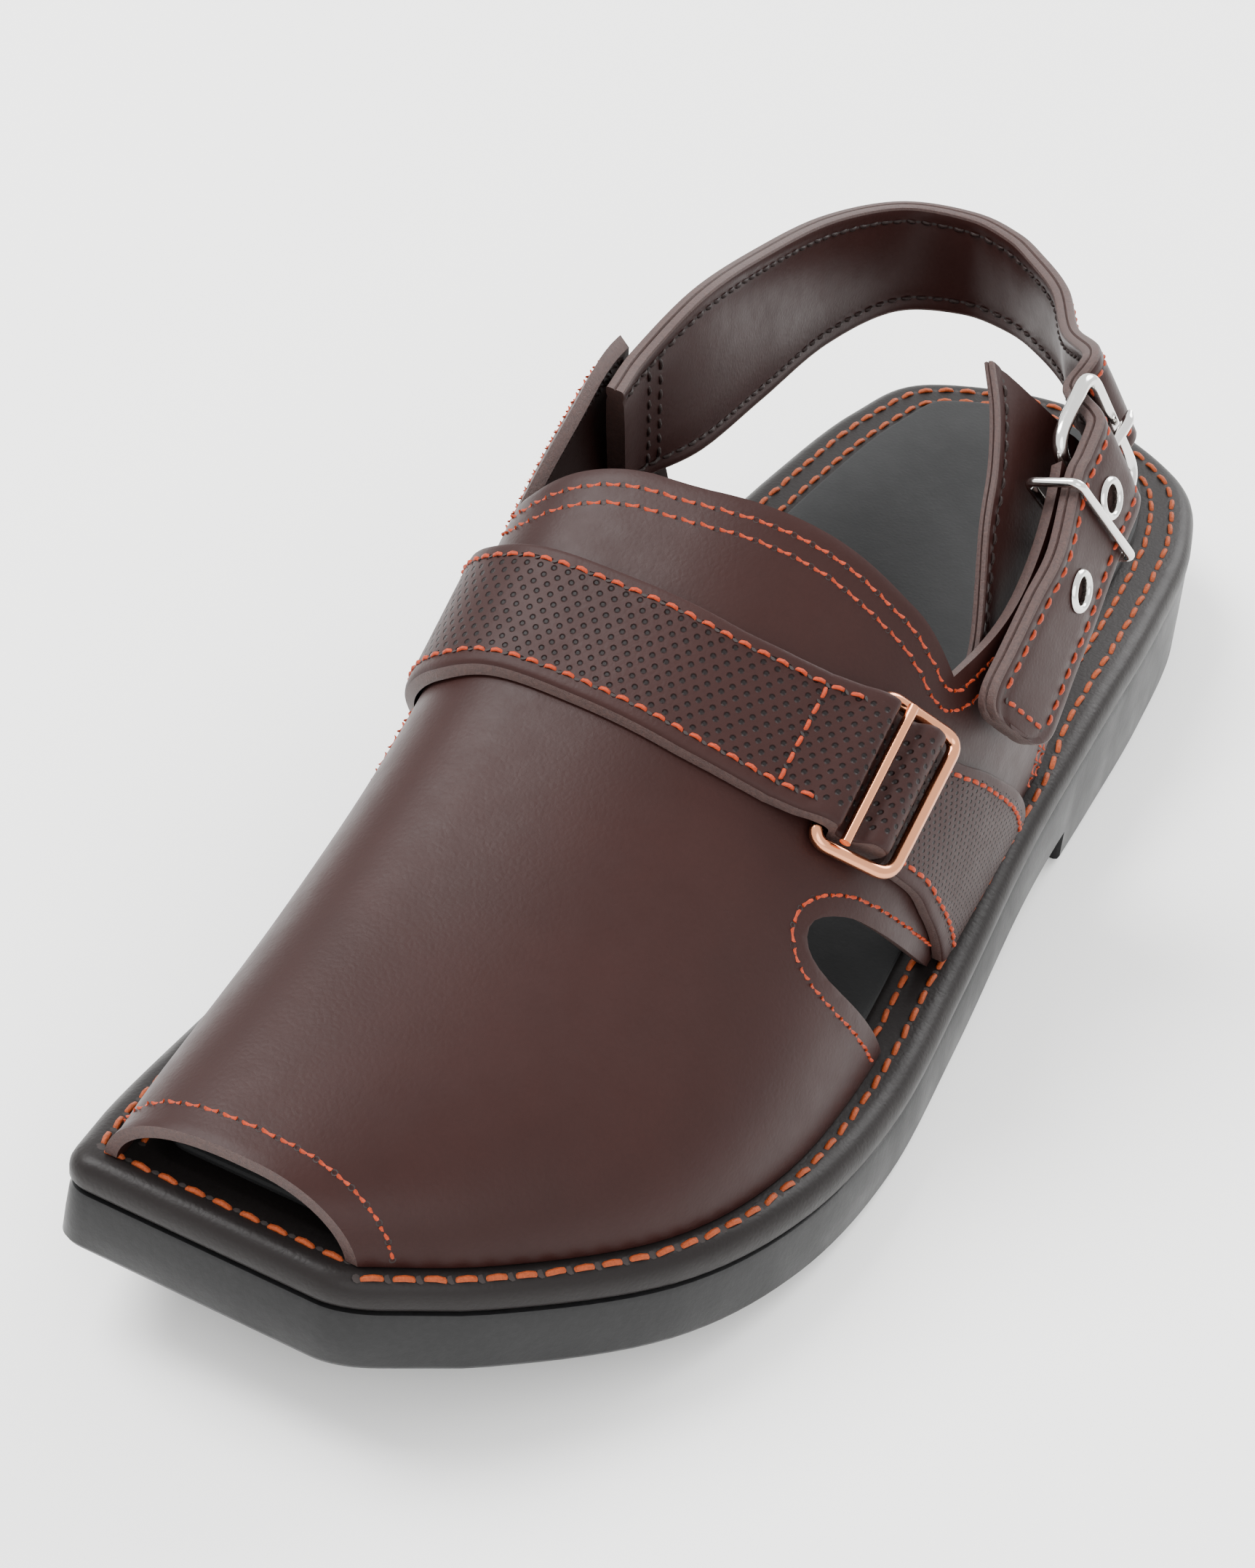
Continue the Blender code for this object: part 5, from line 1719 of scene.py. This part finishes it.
sew("guard_stitches", [ribbon_line(guard_rows, edge, face, GUARD_THICKNESS, 0.001, 0.002)
                       for face in (1, -1) for edge in (STRAP_STITCH, -STRAP_STITCH)], DARK_THREAD)

# Floor, light and camera
IMAGE = (1725, 2156)
CAMERA_PLACE = Vector((0.1526, -0.3906, 0.3492))
CAMERA_ANGLES = (32.4, 38.1, 2.7)
FILL = 0.90
SENSOR = 36.0


def floor_material():
    mat, tree, shader = new_material("pale_floor", (0.86, 0.86, 0.85), 0.75)
    share = ramp(tree, noise(tree, 3.0, 2.0), 0.3, 0.7, 0.0, 1.0)
    tone = mix_color(tree, share, (0.85, 0.85, 0.84), (0.88, 0.88, 0.87))
    tree.links.new(tone, shader.inputs["Base Color"])
    return mat


FLOOR_HALF = 6
floor_corners = [(x * FLOOR_HALF, y * FLOOR_HALF, 0) for x, y in ((-1, -1), (1, -1), (1, 1), (-1, 1))]
floor = add_piece("floor", floor_corners, [(0, 1, 2, 3)], [floor_material()])
floor.location.z = -0.0002


def area_light(name, place, aim, size, power):
    light = bpy.data.lights.new(name, "AREA")
    light.shape = "DISK"
    light.size = size
    light.energy = power
    lamp = bpy.data.objects.new(name, light)
    lamp.location = place
    lamp.rotation_mode = "QUATERNION"
    lamp.rotation_quaternion = (Vector(aim) - Vector(place)).to_track_quat("-Z", "Y")
    bpy.context.scene.collection.objects.link(lamp)


area_light("key", (-0.75, -0.15, 1.15), (0, 0, 0.03), 0.8, 34)
area_light("fill", (0.9, -0.9, 0.8), (0, 0, 0.03), 1.2, 13)
area_light("back", (0.25, 1.1, 0.75), (0, 0, 0.05), 0.8, 17)
world = bpy.data.worlds.new("studio")
world.use_nodes = True
world.node_tree.nodes["Background"].inputs["Color"].default_value = (1.0, 1.0, 1.0, 1.0)
world.node_tree.nodes["Background"].inputs["Strength"].default_value = 1.9
bpy.context.scene.world = world


def photo_up():
    """The photograph's upward direction, with the camera's roll."""
    azimuth, elevation, roll = (math.radians(a) for a in CAMERA_ANGLES)
    back = Vector((math.sin(azimuth) * math.cos(elevation), -math.cos(azimuth) * math.cos(elevation),
                   math.sin(elevation)))
    level = Vector((0, 0, 1)).cross(back).normalized()
    upright = back.cross(level)
    return upright * math.cos(roll) - level * math.sin(roll)


def seen(points, right, up, back):
    """Where points fall on the picture plane at distance 1."""
    places = []
    for point in points:
        ray = point - CAMERA_PLACE
        depth = -ray.dot(back)
        places.append((ray.dot(right) / depth, ray.dot(up) / depth))
    return places


def make_camera():
    """The photograph's viewpoint, turned to the one shoe, with the lens that fills the frame with it."""
    upright = photo_up()
    points = [v.co.copy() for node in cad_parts.values() for v in node.data.vertices]
    target = Vector((0, 0, 0.03))
    for _ in range(6):
        back = (CAMERA_PLACE - target).normalized()
        right = upright.cross(back).normalized()
        up = back.cross(right)
        places = seen(points, right, up, back)
        xs = [p[0] for p in places]
        ys = [p[1] for p in places]
        distance = (CAMERA_PLACE - target).length
        target += (right * (max(xs) + min(xs)) + up * (max(ys) + min(ys))) * distance / 2
    half_width = (max(xs) - min(xs)) / 2 / FILL
    half_height = (max(ys) - min(ys)) / 2 / FILL
    tangent = max(half_height, half_width * IMAGE[1] / IMAGE[0])
    data = bpy.data.cameras.new("camera")
    data.sensor_width = SENSOR
    data.sensor_fit = "AUTO"
    data.lens = SENSOR / 2 / tangent
    data.clip_start = 0.01
    camera = bpy.data.objects.new("camera", data)
    camera.matrix_world = Matrix((
        (right.x, up.x, back.x, CAMERA_PLACE.x),
        (right.y, up.y, back.y, CAMERA_PLACE.y),
        (right.z, up.z, back.z, CAMERA_PLACE.z),
        (0, 0, 0, 1),
    ))
    bpy.context.scene.collection.objects.link(camera)
    bpy.context.scene.camera = camera


make_camera()
